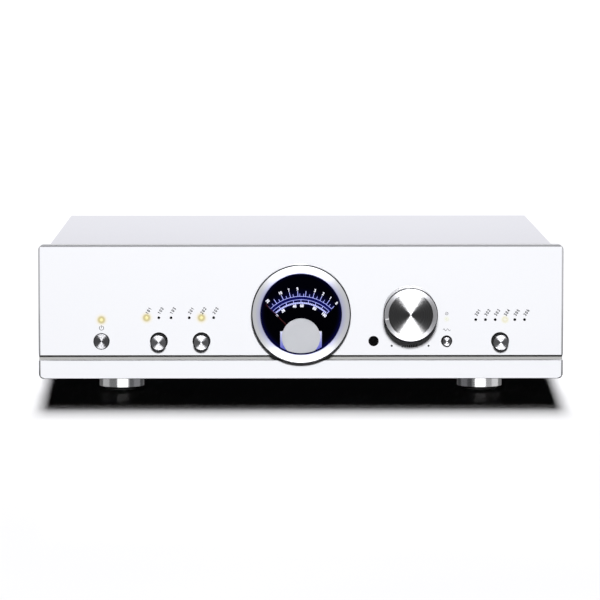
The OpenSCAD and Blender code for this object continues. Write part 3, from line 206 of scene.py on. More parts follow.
def panel_silver():
    """Bead-blasted aluminium, clear anodised: an even white face, with painted lamplight and painted shade.

    The blasted grit, about 0.1 mm, is drawn at 0.35 mm so that it shows, over a faint cloud 60 mm wide.
    """
    mat, tree, shader = surface("blasted_aluminium")
    point = add(tree, "TexCoord", out="Object")
    x, y, z = (add(tree, "SeparateXYZ", [point], axis) for axis in "XYZ")
    across = add(tree, "Math", [x], operation="ABSOLUTE")
    noise = grain(tree, point, 0.35, 3.0)
    cloud = grain(tree, point, 60.0, 1.0)

    def within(*limits):
        """1 where each value given lies between its two limits in millimetres."""
        mask = None
        for value, low, high in limits:
            middle, half = (low + high) / 2 * MM, (high - low) / 2 * MM
            inside = add(tree, "Math", (value, middle, half), operation="COMPARE")
            mask = inside if mask is None else add(tree, "Math", (mask, inside), operation="MULTIPLY")
        return mask

    layers = [(add(tree, "MapRange", (cloud, LOW, HIGH, 0.0, 0.25)), linear("f4f5fb"))]
    # Painted lamplight: a warm glow painted onto the face round each lit lamp
    for lamps, fade, reach, stops in LAMPLIGHT:
        near = nearest(tree, point, lamps)
        layers.append((add(tree, "MapRange", (near, fade, reach, 1.0, 0.0)),
                       add(tree, "ValToRGB", [near], stops=stops)))

    # Painted shade: a dark line round the lower corners, by distance from the middle of each corner's curve
    beyond, line, slack = 1.0, 0.8, 0.02
    mirrored = add(tree, "VectorMath", [point], operation="ABSOLUTE")
    flat = add(tree, "VectorMath", (mirrored, (1, 0, 1)), operation="MULTIPLY")
    middle = ((HALF_W - CORNER) * MM, 0, (LIFT + CORNER) * MM)
    away = add(tree, "VectorMath", (flat, middle), "Value", operation="DISTANCE")
    layers.append((within((across, HALF_W - CORNER, HALF_W + beyond), (z, LIFT - beyond, LIFT + CORNER),
                          (away, CORNER - line, CORNER + beyond)), linear("0c0c0e")))
    # Painted shade: a darker grey over the floor of the groove
    layers.append((within((y, GROOVE_Y - 0.1, GROOVE_Y + 0.1), (z, *GROOVE)), linear("b9b9b8")))
    # Painted shade on the cut edges, darkest at the foot
    cut = within((y, FRONT + slack, FRONT + EDGE))
    inside = within((across, -beyond, HALF_W - CORNER), (z, LIFT + CORNER, TOP_Z - CORNER))
    upright = add(tree, "MapRange", (z, LIFT * MM, TOP_Z * MM))
    layers.append((
        add(tree, "Math", (cut, inside), operation="SUBTRACT", use_clamp=True),
        add(tree, "ValToRGB", [upright], stops=[
            (0.0, "0c0c0e"), (0.014, "26262a"), (0.035, "66666a"), (0.08, "88888c"), (0.44, "a0a0a4"),
            (0.55, "b4b4b8"), (0.975, "c0c0c4"), (0.99, "a2a2a6")])))
    # Painted light on the top face: an even tone set for how the light from above falls on it
    layers.append((within((z, TOP_Z - slack, TOP_Z + slack)), linear("f4f4f8")))

    base = add(tree, "ValToRGB", [noise], stops=[(0.25, "f3f4f9"), (0.75, "fafbff")])
    set_inputs(tree, shader, {
        "Base Color": layered(tree, base, layers),
        "Roughness": add(tree, "MapRange", (noise, LOW, HIGH, 0.46, 0.56)),
        "Specular IOR Level": 0.15,
        "Normal": add(tree, "Bump", {"Height": noise, "Distance": 0.012 * MM, "Strength": 0.35})})
    return mat


def case_silver():
    """Silver paint, sprayed on sheet metal: an even pale grey with a satin sheen and no mirror gloss.

    Its flake, about 0.05 mm, is drawn at 0.25 mm so that it shows, under an orange peel of 1.6 mm.
    """
    mat, tree, shader = surface("satin_silver_paint")
    point = add(tree, "TexCoord", out="Object")
    flake = grain(tree, point, 0.25, 2.0)
    peel = grain(tree, point, 1.6, 1.0)
    set_inputs(tree, shader, {
        "Base Color": add(tree, "ValToRGB", [flake], stops=[(LOW, "cdcdd3"), (HIGH, "d8d8de")]),
        "Metallic": 0.2,
        "Roughness": add(tree, "MapRange", (peel, LOW, HIGH, 0.42, 0.5)),
        "Specular IOR Level": 0.0,
        "Normal": add(tree, "Bump", {"Height": peel, "Distance": 0.012 * MM, "Strength": 0.3})})
    return mat


def turned(name, dark, light, rough, line_mm, metallic=1.0, anisotropic=0.95, shade_and_glow_bands=(), shaded_flanks=(),
           painted_shade_span=None):
    """Turned metal: the tool's lines run round the piece, so its gloss spreads across them into bright fans.

    The lines, about 0.05 mm apart on a real piece, are drawn line_mm apart so that they show. Each band lays
    a colour, mostly painted shade or painted glow, in between two lengths along the turned profile, and each
    shaded flank lays painted shade in between two distances from the part's middle, in millimetres. Over the
    span of painted shade, the metal gives way to a dull dark colour that is painted shade.
    """
    mat, tree, shader = surface(name)
    along = add(tree, "SeparateXYZ", [add(tree, "UVMap", uv_map="turning")], "X")
    lines = add(tree, "TexNoise", {"W": along, "Scale": 1 / line_mm, "Detail": 3.0}, noise_dimensions="1D")
    # Painted shade and painted glow in bands along the profile, and painted shade on the flanks
    layers = [(add(tree, "MapRange", (along, start, end)), linear(colour)) for start, end, colour in shade_and_glow_bands]
    for start, end, colour in shaded_flanks:
        side = add(tree, "SeparateXYZ", [add(tree, "TexCoord", out="Object")], "X")
        across = add(tree, "Math", [side], operation="ABSOLUTE")
        layers.append((add(tree, "MapRange", (across, start * MM, end * MM)), linear(colour)))
    base = add(tree, "ValToRGB", [lines], stops=[(LOW, dark), (HIGH, light)])
    set_inputs(tree, shader, {
        "Base Color": layered(tree, base, layers),
        "Metallic": metallic,
        "Anisotropic": anisotropic,
        "Roughness": add(tree, "MapRange", (lines, LOW, HIGH, *rough)),
        "Tangent": add(tree, "Tangent", direction_type="UV_MAP", uv_map="turning"),
        "Normal": add(tree, "Bump", {"Height": lines, "Distance": 0.004 * MM, "Strength": 0.25})})
    # Painted shade: a dull dark span in place of the metal
    if painted_shade_span:
        set_inputs(tree, shader, {
            "Metallic": add(tree, "MapRange", (along, *painted_shade_span, metallic, 0.0)),
            "Specular IOR Level": 0.0})
    return mat


# Reach of the dial's lit print and painted glow from the needle's pivot, and of its painted glow from the
# dial's middle
PIVOT_REACH, MIDDLE_REACH = 60.0, 40.0


def dial_black():
    """Matt black paint, sprayed: no gloss, with a painted deep blue glow along the dial's scale and round its
    rim.
    """
    mat, tree, shader = surface("matt_black_paint")
    point = add(tree, "TexCoord", out="Object")
    noise = grain(tree, point, 0.5)
    x, z = (add(tree, "SeparateXYZ", [point], axis) for axis in "XZ")
    across = add(tree, "Math", [x], operation="ABSOLUTE")
    above = add(tree, "Math", (z, across), operation="SUBTRACT")
    fan = add(tree, "MapRange", (above, (PIVOT_Z - 1.5) * MM, (PIVOT_Z + 0.5) * MM))
    # Painted light: the meter lamps' blue glow along the scale and round the rim
    scale_glow = add(tree, "ValToRGB", [dial_share(tree, point, PIVOT_Z, PIVOT_REACH)], stops=[
        (0.44, "000001"), (0.49, "04052a"), (0.53, "070a48"), (0.56, "0a0d5e"), (0.59, "070a44"),
        (0.64, "02031c"), (0.70, "000004")])
    rim_glow = add(tree, "ValToRGB", [dial_share(tree, point, METER_Z, MIDDLE_REACH)], stops=[
        (0.74, "000001"), (0.79, "030318"), (0.84, "0a0a40"), (0.9, "04041c")])
    in_fan = layered(tree, linear("000001"), [(fan, scale_glow)])
    glow = add(tree, "Mix", {0: 1.0, 6: in_fan, 7: rim_glow}, 2, data_type="RGBA", blend_type="ADD")
    set_inputs(tree, shader, {
        "Base Color": add(tree, "ValToRGB", [noise], stops=[(LOW, "010102"), (HIGH, "030304")]),
        "Roughness": add(tree, "MapRange", (noise, LOW, HIGH, 0.6, 0.75)),
        "Specular IOR Level": 0.0,
        "Emission Color": glow,
        "Emission Strength": 1.0})
    return mat


def light_guide():
    """Clear acrylic, moulded and lit from below: white at its upper end and blue lower down."""
    mat, tree, shader = surface("lit_acrylic")
    point = add(tree, "TexCoord", out="Object")
    height = add(tree, "SeparateXYZ", [point], "Z")
    foot, head = LIFT + 26, LIFT + 40
    along = add(tree, "MapRange", (height, foot * MM, head * MM))
    noise = grain(tree, point, 3.0)
    set_inputs(tree, shader, {
        "Base Color": add(tree, "ValToRGB", [noise], stops=[(LOW, "34386a"), (HIGH, "3e4276")]),
        "Roughness": 0.25,
        "Specular IOR Level": 0.3,
        "Emission Color": add(tree, "ValToRGB", [along], stops=[
            (0.0, "5c60c0"), (0.3, "8c90d4"), (0.7, "c9cbe6"), (1.0, "f4f5ff")]),
        "Emission Strength": 0.85})
    return mat


def dial_print():
    """Clear ink, screen-printed and lit from behind: blue along the scale's lines, white in its numbers."""
    mat, tree, shader = surface("lit_printed_ink")
    point = add(tree, "TexCoord", out="Object")
    noise = grain(tree, point, 1.5)
    set_inputs(tree, shader, {
        "Base Color": add(tree, "ValToRGB", [noise], stops=[(LOW, "1a1e48"), (HIGH, "262a58")]),
        "Roughness": 0.5,
        "Specular IOR Level": 0.1,
        "Emission Color": add(tree, "ValToRGB", [dial_share(tree, point, PIVOT_Z, PIVOT_REACH)], stops=[
            (0.474, "f6f7ff"), (0.488, "c4c8ff"), (0.510, "c0c4ff"), (0.530, "a8aefa"), (0.650, "a8aef8"),
            (0.672, "f6f7ff")]),
        "Emission Strength": 1.1})
    return mat


def lamp_lit():
    """Acrylic light pipe, moulded, over a lamp: amber in the left-hand groups, nearly white at the right."""
    mat, tree, shader = surface("lit_moulded_acrylic")
    point = add(tree, "TexCoord", out="Object")
    noise = grain(tree, point, 0.8)
    reach = 0.5
    layers = []
    for lamps, _, _, stops in LAMPLIGHT:
        near = nearest(tree, point, lamps)
        layers.append((add(tree, "Math", (near, reach), operation="LESS_THAN"),
                       add(tree, "ValToRGB", [near], stops=stops)))
    set_inputs(tree, shader, {
        "Base Color": add(tree, "ValToRGB", [noise], stops=[(LOW, "12110c"), (HIGH, "1c1a14")]),
        "Roughness": add(tree, "MapRange", (noise, LOW, HIGH, 0.25, 0.4)),
        "Specular IOR Level": 0.2,
        "Emission Color": layered(tree, linear("000000"), layers),
        "Emission Strength": 1.0})
    return mat


def clear_glass():
    """Float and blown glass, fire-polished: clear, with a thin bright edge."""
    mat, tree, shader = surface("clear_glass")
    noise = grain(tree, add(tree, "TexCoord", out="Object"), 30.0)
    set_inputs(tree, shader, {
        "Base Color": add(tree, "ValToRGB", [noise], stops=[(LOW, "fdfeff"), (HIGH, "ffffff")]),
        "Roughness": add(tree, "MapRange", (noise, LOW, HIGH, 0.0, 0.002)),
        "Transmission Weight": 1.0,
        "IOR": 1.45})
    return mat


def jack_ring():
    """Nylon, moulded: red rings in the lower row and white ones in the upper row, with a soft sheen."""
    mat, tree, shader = surface("moulded_ring_nylon")
    point = add(tree, "TexCoord", out="Object")
    noise = grain(tree, point, 0.4)
    height = add(tree, "SeparateXYZ", [point], "Z")
    upper = add(tree, "Math", (height, AXIS_Z * MM), operation="GREATER_THAN")
    red, white = (add(tree, "ValToRGB", [noise], stops=[(LOW, dark), (HIGH, light)])
                  for dark, light in (("a5181c", "bc2024"), ("e6e4dc", "f2f0ea")))
    set_inputs(tree, shader, {
        "Base Color": layered(tree, red, [(upper, white)]),
        "Roughness": add(tree, "MapRange", (noise, LOW, HIGH, 0.35, 0.5)),
        "Specular IOR Level": 0.4,
        "Normal": add(tree, "Bump", {"Height": noise, "Distance": 0.01 * MM, "Strength": 0.3})})
    return mat


# The material of each slot. Moulded and painted textures of about 0.1 mm are drawn at 0.3 to 0.8 mm, and
# rolled or turned lines of about 0.05 mm at 0.4 to 0.6 mm, so that they show
LOOKS = {
    "panel_silver": panel_silver(),
    "case_silver": case_silver(),
    # Steel sheet, rolled and zinc-plated: a dull grey metal with fine lines
    "steel": speckled("zinc_plated_steel", "8f9194", "b4b6b8", 0.6, (0.3, 0.45), 1.0, 0.004, (1, 1, 0.1)),
    # Steel screws, blackened in an oxide bath: nearly black with a faint metal gloss
    "screw_black": speckled("blackened_steel", "151517", "26262a", 0.5, (0.35, 0.5), 0.8),
    # Brass, turned and thinly gold-plated: warm and bright
    "brass": speckled("gold_plated_brass", "c79a3e", "e2bd62", 0.4, (0.16, 0.28), 1.0, 0.003, (1, 0.1, 1)),
    # ABS, moulded in a spark-eroded tool: a dull black that swallows light
    "black_plastic": speckled("textured_abs", "040405", "0c0c0e", 0.3, (0.7, 0.85), specular=0.1),
    # Nylon, moulded: creamy white with a soft sheen
    "white_plastic": speckled("moulded_nylon", "d6d3c8", "e4e2d8", 0.5, (0.35, 0.5)),
    # Acrylic that lets infrared through, moulded and polished: a glossy black spot with a slow unevenness
    "remote_eye": speckled("polished_infrared_acrylic", "020203", "050506", 2.0, (0.12, 0.2), 0.0, 0.002),
    # Rubber, moulded: dull black
    "rubber": speckled("moulded_rubber", "0b0b0c", "161617", 0.4, (0.7, 0.85), 0.0, 0.02),
    "lens_glass": clear_glass(),
    "tube_glass": clear_glass(),
    "dial_black": dial_black(),
    # Grey paint, sprayed satin on the pivot's cover: flat, even and pale
    "pivot_grey": speckled("satin_grey_paint", "b2b3b8", "babbc0", 0.6, (0.45, 0.55), 0.1, 0.004),
    "light_guide": light_guide(),
    # Red lacquer, dipped, on the needle: a dark line with hardly any gloss
    "needle_red": speckled("red_lacquer", "2e0406", "3a0608", 0.8, (0.3, 0.4), specular=0.1),
    "lamp_lit": lamp_lit(),
    # Smoked acrylic light pipe, moulded, over a lamp that is off: a black dot
    "lamp_dark": speckled("smoked_acrylic", "020202", "060607", 0.6, (0.25, 0.35), specular=0.1),
    # Solder mask, printed over copper tracks 2.5 mm apart: green, and mottled by them
    "board_green": speckled("solder_mask", "0b3a1c", "15502a", 2.5, (0.35, 0.5), 0.0, 0.02),
    # Ceramic, pressed and fired without a glaze: chalky off-white
    "ceramic": speckled("pressed_ceramic", "dcd8cb", "e8e5da", 0.5, (0.55, 0.7)),
    # Copper wire of 0.9 mm, wound and varnished: brown lines side by side
    "winding": speckled("varnished_copper_wire", "8a4f1a", "b8742c", 0.9, (0.3, 0.45), 0.5, 0.05,
                        (1, 1, 0.08)),
    # PVC sleeve, shrunk on: deep blue with a soft gloss
    "capacitor_sleeve": speckled("shrunk_pvc", "10142e", "1a2046", 1.2, (0.25, 0.4)),
    # PVC insulation, extruded: a plain dull red
    "wire_red": speckled("extruded_pvc", "6e1012", "861a1c", 0.6, (0.45, 0.6)),
}
# Aluminium, spun, on the knob's face: two white fans between two dark ones
KNOB = turned("spun_aluminium", "b9b9bb", "d2d2d4", (0.24, 0.28), 0.16, metallic=0.991, anisotropic=1.0)
# Aluminium, spun satin, on the buttons: softer fans, and painted shade on the edge
BUTTON_FACE = turned("satin_spun_aluminium", "a4a4a8", "b8b8bc", (0.26, 0.30), 0.16, metallic=0.963,
                     anisotropic=1.0, shade_and_glow_bands=((6.0, 6.15, "3c3c40"),))
# Aluminium, turned, on the bezel: a pale face, with painted shade in a dark line round it and on its inner
# edge, and the dial's blue light painted on its inner side
RING = turned("turned_aluminium", "d6d7dc", "e4e5ea", (0.32, 0.39), 0.22, metallic=0.755, shade_and_glow_bands=(
    (16.6, 16.9, "101012"), (18.0, 18.15, "dddee3"), (20.5, 24.2, "c8caee"), (24.3, 24.9, "06061a")))
# Aluminium, turned satin, on the knob's rim: soft grey with a black outline of painted shade
RIM = turned("satin_turned_aluminium", "b0b0b4", "bcbcc0", (0.34, 0.40), 0.25, metallic=0.91, anisotropic=0.9,
             shade_and_glow_bands=((4.5, 4.75, "050506"),), painted_shade_span=(4.5, 4.75))
# Aluminium, turned and polished, on the feet: bright upright stripes, with painted shade on the flanks under
# the case
FOOT = turned("polished_aluminium", "c9c9cb", "dcdcde", (0.16, 0.22), 0.2, anisotropic=0.6,
              shaded_flanks=((142.2, 141.0, "808084"),))
PRINT = dial_print()
# Ink, screen-printed: dull dark grey
INK = speckled("printed_ink", "2e2e33", "3c3c42", 0.3, (0.6, 0.75), 0.0, 0.005)
# Enamel, rubbed into the knob's pointer slot: clean white
ENAMEL = speckled("white_enamel", "ececf0", "fafafc", 0.5, (0.35, 0.45), 0.0, 0.004)

node_looks = {sub["node"]: LOOKS.get(sub["material_slot"]) for sub in frame["record"]["subparts"]}
node_looks["jack_insulators"] = jack_ring()
# The meter's can in the dial's matt black, with its painted glow round the rim
node_looks["meter_can"] = LOOKS["dial_black"]
for node, look in node_looks.items():
    if look:
        nodes[node].data.materials.clear()
        nodes[node].data.materials.append(look)


# Shapes

# Radius at a pole before it is welded, and angle past which an edge of a turned piece stays sharp
TINY = 0.001
CREASE = 28


def filleted(points, radius, steps=6):
    """Profile whose inner corners are short curves, with a point on either side that keeps the runs flat.

    A curve leaves its corner's two runs at a distance d, which is the radius or at most 0.3 of the shorter
    run, and follows (1 - t)^2 start + 2 t (1 - t) corner + t^2 end. The points that guard it lie 1.4 d from
    the corner.
    """
    points = np.array(points, float)
    out = [points[:1]]
    share = np.linspace(0, 1, steps)[:, None]
    for before, corner, after in zip(points, points[1:], points[2:]):
        back, on = before - corner, after - corner
        cut = min(radius, 0.3 * np.linalg.norm(back), 0.3 * np.linalg.norm(on))
        back, on = back / np.linalg.norm(back), on / np.linalg.norm(on)
        start, end = corner + back * cut, corner + on * cut
        curve = (1 - share) ** 2 * start + 2 * share * (1 - share) * corner + share ** 2 * end
        out += [[corner + back * cut * 1.4], curve, [corner + on * cut * 1.4]]
    return np.concatenate(out + [points[-1:]])


def lathe(profile, centre, upright=False, n=192):
    """Surface of revolution: each (radius, height) of the profile goes once round an axis through the centre.

    The axis lies along Y, or along Z where it stands upright. The first texture coordinate is the length
    along the profile, and the second is the share of the turn.
    """
    angle = np.linspace(0, 2 * np.pi, n, endpoint=False)
    wide, deep = profile[:, :1] * np.cos(angle), profile[:, :1] * np.sin(angle)
    high = np.broadcast_to(profile[:, 1:], wide.shape)
    points = np.stack((wide, deep, high) if upright else (wide, high, deep), -1) + np.array(centre, float)
    along = np.concatenate([[0], np.cumsum(np.linalg.norm(np.diff(profile, axis=0), axis=1))])
    i, k = np.meshgrid(np.arange(len(profile) - 1), np.arange(n), indexing="ij")
    after = (k + 1) % n
    faces = np.stack((i * n + k, i * n + after, (i + 1) * n + after, (i + 1) * n + k), -1).reshape(-1, 4)
    uv = np.stack((np.stack((along[i], along[i], along[i + 1], along[i + 1]), -1),
                   np.stack((k, k + 1, k + 1, k), -1) / n), -1).reshape(-1, 4, 2)
    return points.reshape(-1, 3), faces, uv


def outward(points, faces, uv):
    """The same closed surface, turned over if its faces look inward."""
    a, b, c, d = (points[faces[:, i]] for i in range(4))
    volume = np.einsum("ij,ij->", a, np.cross(b, c)) + np.einsum("ij,ij->", a, np.cross(c, d))
    return (points, faces, uv) if volume > 0 else (points, faces[:, ::-1], uv[:, ::-1])


def joined(parts):
    """Several surfaces as one."""
    points, faces, uvs, count = [], [], [], 0
    for part_points, part_faces, part_uv in parts:
        points.append(part_points)
        faces.append(part_faces + count)
        uvs.append(part_uv)
        count += len(part_points)
    return np.concatenate(points), np.concatenate(faces), np.concatenate(uvs)


def make(name, surface_data, body, look, stands_for=None, crease=None):
    """Object from points in millimetres, faces and texture coordinates, riding on a body of the part.

    A surface with a crease angle is shaded smooth, and its seams and poles are welded.
    """
    points, faces, uv = surface_data
    mesh = bpy.data.meshes.new(name)
    mesh.from_pydata((points * MM).tolist(), [], faces.tolist())
    mesh.uv_layers.new(name="turning").data.foreach_set("uv", np.ascontiguousarray(uv, np.float32).ravel())
    mesh.polygons.foreach_set("use_smooth", np.full(len(faces), crease is not None))
    if crease is not None:
        welded = bmesh.new()
        welded.from_mesh(mesh)
        bmesh.ops.remove_doubles(welded, verts=welded.verts, dist=3 * TINY * MM)
        welded.to_mesh(mesh)
        welded.free()
        mesh.set_sharp_from_angle(angle=math.radians(crease))
    mesh.materials.append(look)
    obj = bpy.data.objects.new(name, mesh)
    bpy.context.scene.collection.objects.link(obj)
    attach(obj, body)
    if stands_for:
        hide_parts(stands_for)
    return obj


def spun(name, profile, radius, x, z, body, look, stands_for=None):
    """Turned piece on the panel: its profile is (radius, distance in front of the panel's face)."""
    rounded = filleted(profile, radius) * (1, -1) + (0, FRONT)
    return make(name, outward(*lathe(rounded, (x, 0, z))), body, look, stands_for, CREASE)


# Volume knob: sunk spun disc, sloping rim and straight side
knob = spun("knob", [
    (TINY, KNOB_OUT), (18.2, KNOB_OUT), (18.2, 25.4), (21.8, 25.4), (21.8, 1.6), (21.2, 1.0), (3.05, 1.0),
    (3.05, 20.0), (TINY, 20.0)], 0.25, VOLUME_X, AXIS_Z, "volume", KNOB, "volume_knob")
rim = spun("knob_rim", [
    (18.05, 25.4), (18.05, 26.75), (18.3, 27.0), (21.3, 26.7), (22.05, 26.0), (22.05, 25.4), (18.05, 25.4)],
    0.15, VOLUME_X, AXIS_Z, "volume", RIM)

# Meter's bezel: flat turned face between two small chamfers, over a seat for the lens
bezel = spun("bezel", [
    (34.05, 0), (40.75, 0), (40.75, 10.2), (39.95, BEZEL_OUT), (33.8, BEZEL_OUT), (33.0, 10.2), (33.0, 7.0),
    (34.05, 7.0), (34.05, 0)], 0.3, 0, METER_Z, "chassis", RING, "meter_bezel")

# Dark sheet in the bezel's bore, painted shade, in the dial's black with its painted glow
bore_shade_sheet = spun("bezel_bore_shade_sheet", [
    (32.85, 7.05), (32.85, 10.1), (32.98, 10.2), (32.98, 7.05), (32.85, 7.05)], 0.02, 0, METER_Z, "chassis",
    LOOKS["dial_black"])

# Push buttons: a stem, a rear flange and a flat spun face, which is let into a black tapered body on all but
# one. Each row gives the place, the radius, the distance of the face in front of the panel, the flange's
# radius and depth behind the panel, the stem's end and the body
BUTTONS = {
    "power_button": (POWER_X, 6.6, POWER_OUT, 7.8, 8.4, 22.0, "power_push"),
    "left_select_button": (LEFT_X, 6.6, SELECT_OUT, 7.1, 7.4, 19.2, "left_select_push"),
    "centre_select_button": (CENTRE_X, 6.6, SELECT_OUT, 7.1, 7.4, 19.2, "centre_select_push"),
    "input_button": (INPUT_X, 6.6, SELECT_OUT, 7.1, 7.4, 19.2, "input_push"),
    "tone_button": (TONE_X, 3.9, TONE_OUT, 4.4, 7.4, 19.2, "tone_push"),
}
STEM_R, FLANGE_T, TAPER = 2.5, 1.2, 0.025
DISC_PROUD, DISC_SUNK = 0.08, 0.1
faces_of = {}
for node, (x, r, out, flange_r, flange_at, end, body) in BUTTONS.items():
    bright = node == "power_button"
    taper = 0 if bright else TAPER * out
    edge = 0.5 if bright else 0.25
    faces_of[node] = spun(node.replace("button", "cap"), [
        (TINY, out), (r - edge - taper, out), (r - taper, out - edge), (r, 0), (r, -flange_at),
        (flange_r, -flange_at), (flange_r, -flange_at - FLANGE_T), (STEM_R, -flange_at - FLANGE_T),
        (STEM_R, -end), (TINY, -end)],
        0.2, x, ROW_Z, body, BUTTON_FACE if bright else LOOKS["black_plastic"], node)
    if not bright:
        faces_of[node] = spun(node.replace("button", "disc"), [
            (TINY, out + DISC_PROUD), (r - 0.33 - taper, out + DISC_PROUD),
            (r - 0.27 - taper, out - DISC_SUNK), (TINY, out - DISC_SUNK)], 0.05, x, ROW_Z, body, BUTTON_FACE)

# Feet: turned drums with a seat for the pad
foot_profile = filleted([
    (2.2, 5.0), (14.05, 5.0), (14.05, 2.0), (18.1, 2.0), (18.5, 2.4), (18.5, LIFT + 2), (2.2, LIFT + 2),
    (2.2, 5.0)], 0.25)
drums = make("foot_drums", joined([outward(*lathe(foot_profile, (x, y, 0), True)) for x, y in FEET]),
             "chassis", FOOT, "feet", CREASE)


# Print

# Lines of each digit, as shares of its height from its lower left
DIGITS = {
    "0": [(.1, .2), (.1, .8), (.22, 1), (.38, 1), (.5, .8), (.5, .2), (.38, 0), (.22, 0), (.1, .2)],
    "1": [(.12, .78), (.32, 1), (.32, 0)],
    "2": [(.1, .8), (.2, 1), (.42, 1), (.52, .82), (.5, .6), (.08, 0), (.54, 0)],
    "3": [(.08, 1), (.5, 1), (.28, .6), (.46, .55), (.53, .3), (.42, 0), (.2, 0), (.07, .15)],
    "4": [(.42, 0), (.42, 1), (.05, .3), (.56, .3)],
    "5": [(.5, 1), (.14, 1), (.1, .55), (.35, .6), (.52, .42), (.5, .15), (.35, 0), (.18, 0), (.07, .12)],
    "6": [(.46, .95), (.3, 1), (.14, .8), (.08, .35), (.18, .03), (.38, 0), (.52, .2), (.5, .45), (.35, .58),
          (.1, .42)],
    "7": [(.06, 1), (.54, 1), (.24, 0)],
    "8": [(.3, .55), (.12, .74), (.14, .92), (.3, 1), (.46, .92), (.48, .74), (.3, .55), (.08, .3),
          (.12, .06), (.3, 0), (.48, .06), (.52, .3), (.3, .55)],
}


def turn(points, degrees):
    """Points turned clockwise about the origin."""
    a = math.radians(degrees)
    return np.array(points, float) @ np.array([[math.cos(a), -math.sin(a)], [math.sin(a), math.cos(a)]])


def number(text, at, height, degrees=0, width=0.72):
    """Lines of a number about a point, turned clockwise, its digits a share of the height apart."""
    shift = np.array([width * len(text) / 2 - 0.06, 0.5])
    return [turn((np.array(DIGITS[digit]) + (i * width, 0) - shift) * height, degrees) + at
            for i, digit in enumerate(text)]


def polar(radius, degrees, centre=(0, 0)):
    """Points at a radius and an angle clockwise from straight up."""
    a = np.radians(degrees)
    return np.stack((np.sin(a), np.cos(a)), -1) * np.asarray(radius)[..., None] + centre


def ribbons(groups, y, back=False):
    """Flat print: each straight run of a line is a rectangle of its width, run on by 0.3 of it at both ends.

    The groups are (lines, width) pairs in X and Z, and the print faces forward, or to the rear.
    """
    quads = []
    for lines, width in groups:
        for line in lines:
            line = np.array(line, float)
            start, end = line[:-1], line[1:]
            ahead = (end - start) / np.linalg.norm(end - start, axis=1, keepdims=True)
            side = np.stack((-ahead[:, 1], ahead[:, 0]), -1) * width / 2
            start, end = start - ahead * width * 0.3, end + ahead * width * 0.3
            quads.append(np.stack((start - side, end - side, end + side, start + side), 1))
    flat = np.concatenate(quads)
    if back:
        flat = flat[:, ::-1]
    points = np.stack((flat[..., 0], np.full(flat.shape[:2], y), flat[..., 1]), -1).reshape(-1, 3)
    faces = np.arange(len(points)).reshape(-1, 4)
    return points, faces, flat


def arc(radius, low, high, centre, n=60):
    """Line along a circle between two angles clockwise from straight up."""
    return polar(np.full(n, radius), np.linspace(low, high, n), centre)


def ticks(angles, inner, outer, centre):
    """Short lines along the radius at each angle."""
    return [polar(np.array([inner, outer]), np.array([a, a]), centre) for a in angles]


# Dial: two arcs with ticks outside and inside them, a row of blocks, and a row of numbers on either side
pivot = (0, PIVOT_Z)
OUTER_R, INNER_R, BLOCK_R = 35.3, 32.6, 29.9
SWEEP = 45
scale = [
    ([arc(OUTER_R, -SWEEP, SWEEP, pivot), arc(INNER_R, -SWEEP, SWEEP, pivot)], 0.45),
    (ticks(np.arange(-34, 41, 10), OUTER_R, 39.5, pivot), 0.55),
    (ticks([-SWEEP, SWEEP], OUTER_R, 38.2, pivot), 0.5),
    (ticks([-SWEEP, SWEEP], INNER_R, 29.8, pivot), 0.5),
    (ticks([-39, -29, -19, -10, -1.5, 3.5, 11, 21, 31, 40], OUTER_R, 37.4, pivot), 0.45),
    (ticks(np.arange(-33.75, 40, 11.25), 29.4, INNER_R, pivot), 0.5),
    ([arc(BLOCK_R, a - 0.5, a + 0.5, pivot, 4) for a in np.arange(-42.19, 43, 2.8125)], 1.3),
]
OUTER_NUMBERS = (
    (-41, "20"), (-24, "10"), (-14, "7"), (-4, "5"), (16, "3"), (26, "2"), (35.5, "1"), (44.5, "0"))
INNER_NUMBERS = ((-45, "0"), (-32, "20"), (-11, "40"), (1.6, "60"), (23.7, "80"), (43, "100"))
DIAL_DIGIT = 2.1
for row, radius, width in ((OUTER_NUMBERS, 41.6, 0.55), (INNER_NUMBERS, 27.7, 0.6)):
    for angle, text in row:
        at = polar(np.array(radius), np.array(angle), pivot)
        scale.append((number(text, at, DIAL_DIGIT, angle), width))
dial_marks = make("dial_marks", ribbons(scale, DIAL_Y - 0.04), "chassis", PRINT)

# Marks on the panel. A slanted number over each lamp, by rows: middle, count, pitch, height and first number
marks = []
SLANT = 34
PANEL_DIGIT = 2.2
ahead = turn([(0, 1)], SLANT)[0]
for x, count, pitch, z, first in (
        (LEFT_X, 3, 10, SELECT_Z, 101), (CENTRE_X, 3, 10, SELECT_Z, 201), (INPUT_X, 6, 8, INPUT_Z, 301)):
    for i in range(count):
        dot = np.array([x + (i - (count - 1) / 2) * pitch, z])
        at = dot + (-0.2, 3.2) + ahead * 3.4
        marks.append((number(str(first + i), at, PANEL_DIGIT, SLANT - 90, 0.96), 0.5))
# A broken ring with a stroke over the power button
sign_z = LIFT + 41.9
marks.append(([arc(1.75, 32, 328, (POWER_X, sign_z), 32),
               [(POWER_X, sign_z), (POWER_X, sign_z + 2.1)]], 0.42))
# A struck ring over the tone lamp, and a wave over the tone button
sign_z, half = LIFT + 53.6, 0.8
marks.append(([arc(1.1, 0, 360, (TONE_X, sign_z), 24),
               [(TONE_X - half, sign_z - half), (TONE_X + half, sign_z + half)]], 0.3))
wave = np.linspace(-3, 3, 25)
marks.append(([np.stack((TONE_X + wave, LIFT + 40.2 + half * np.sin(wave * math.pi / 1.5)), -1)], 0.32))
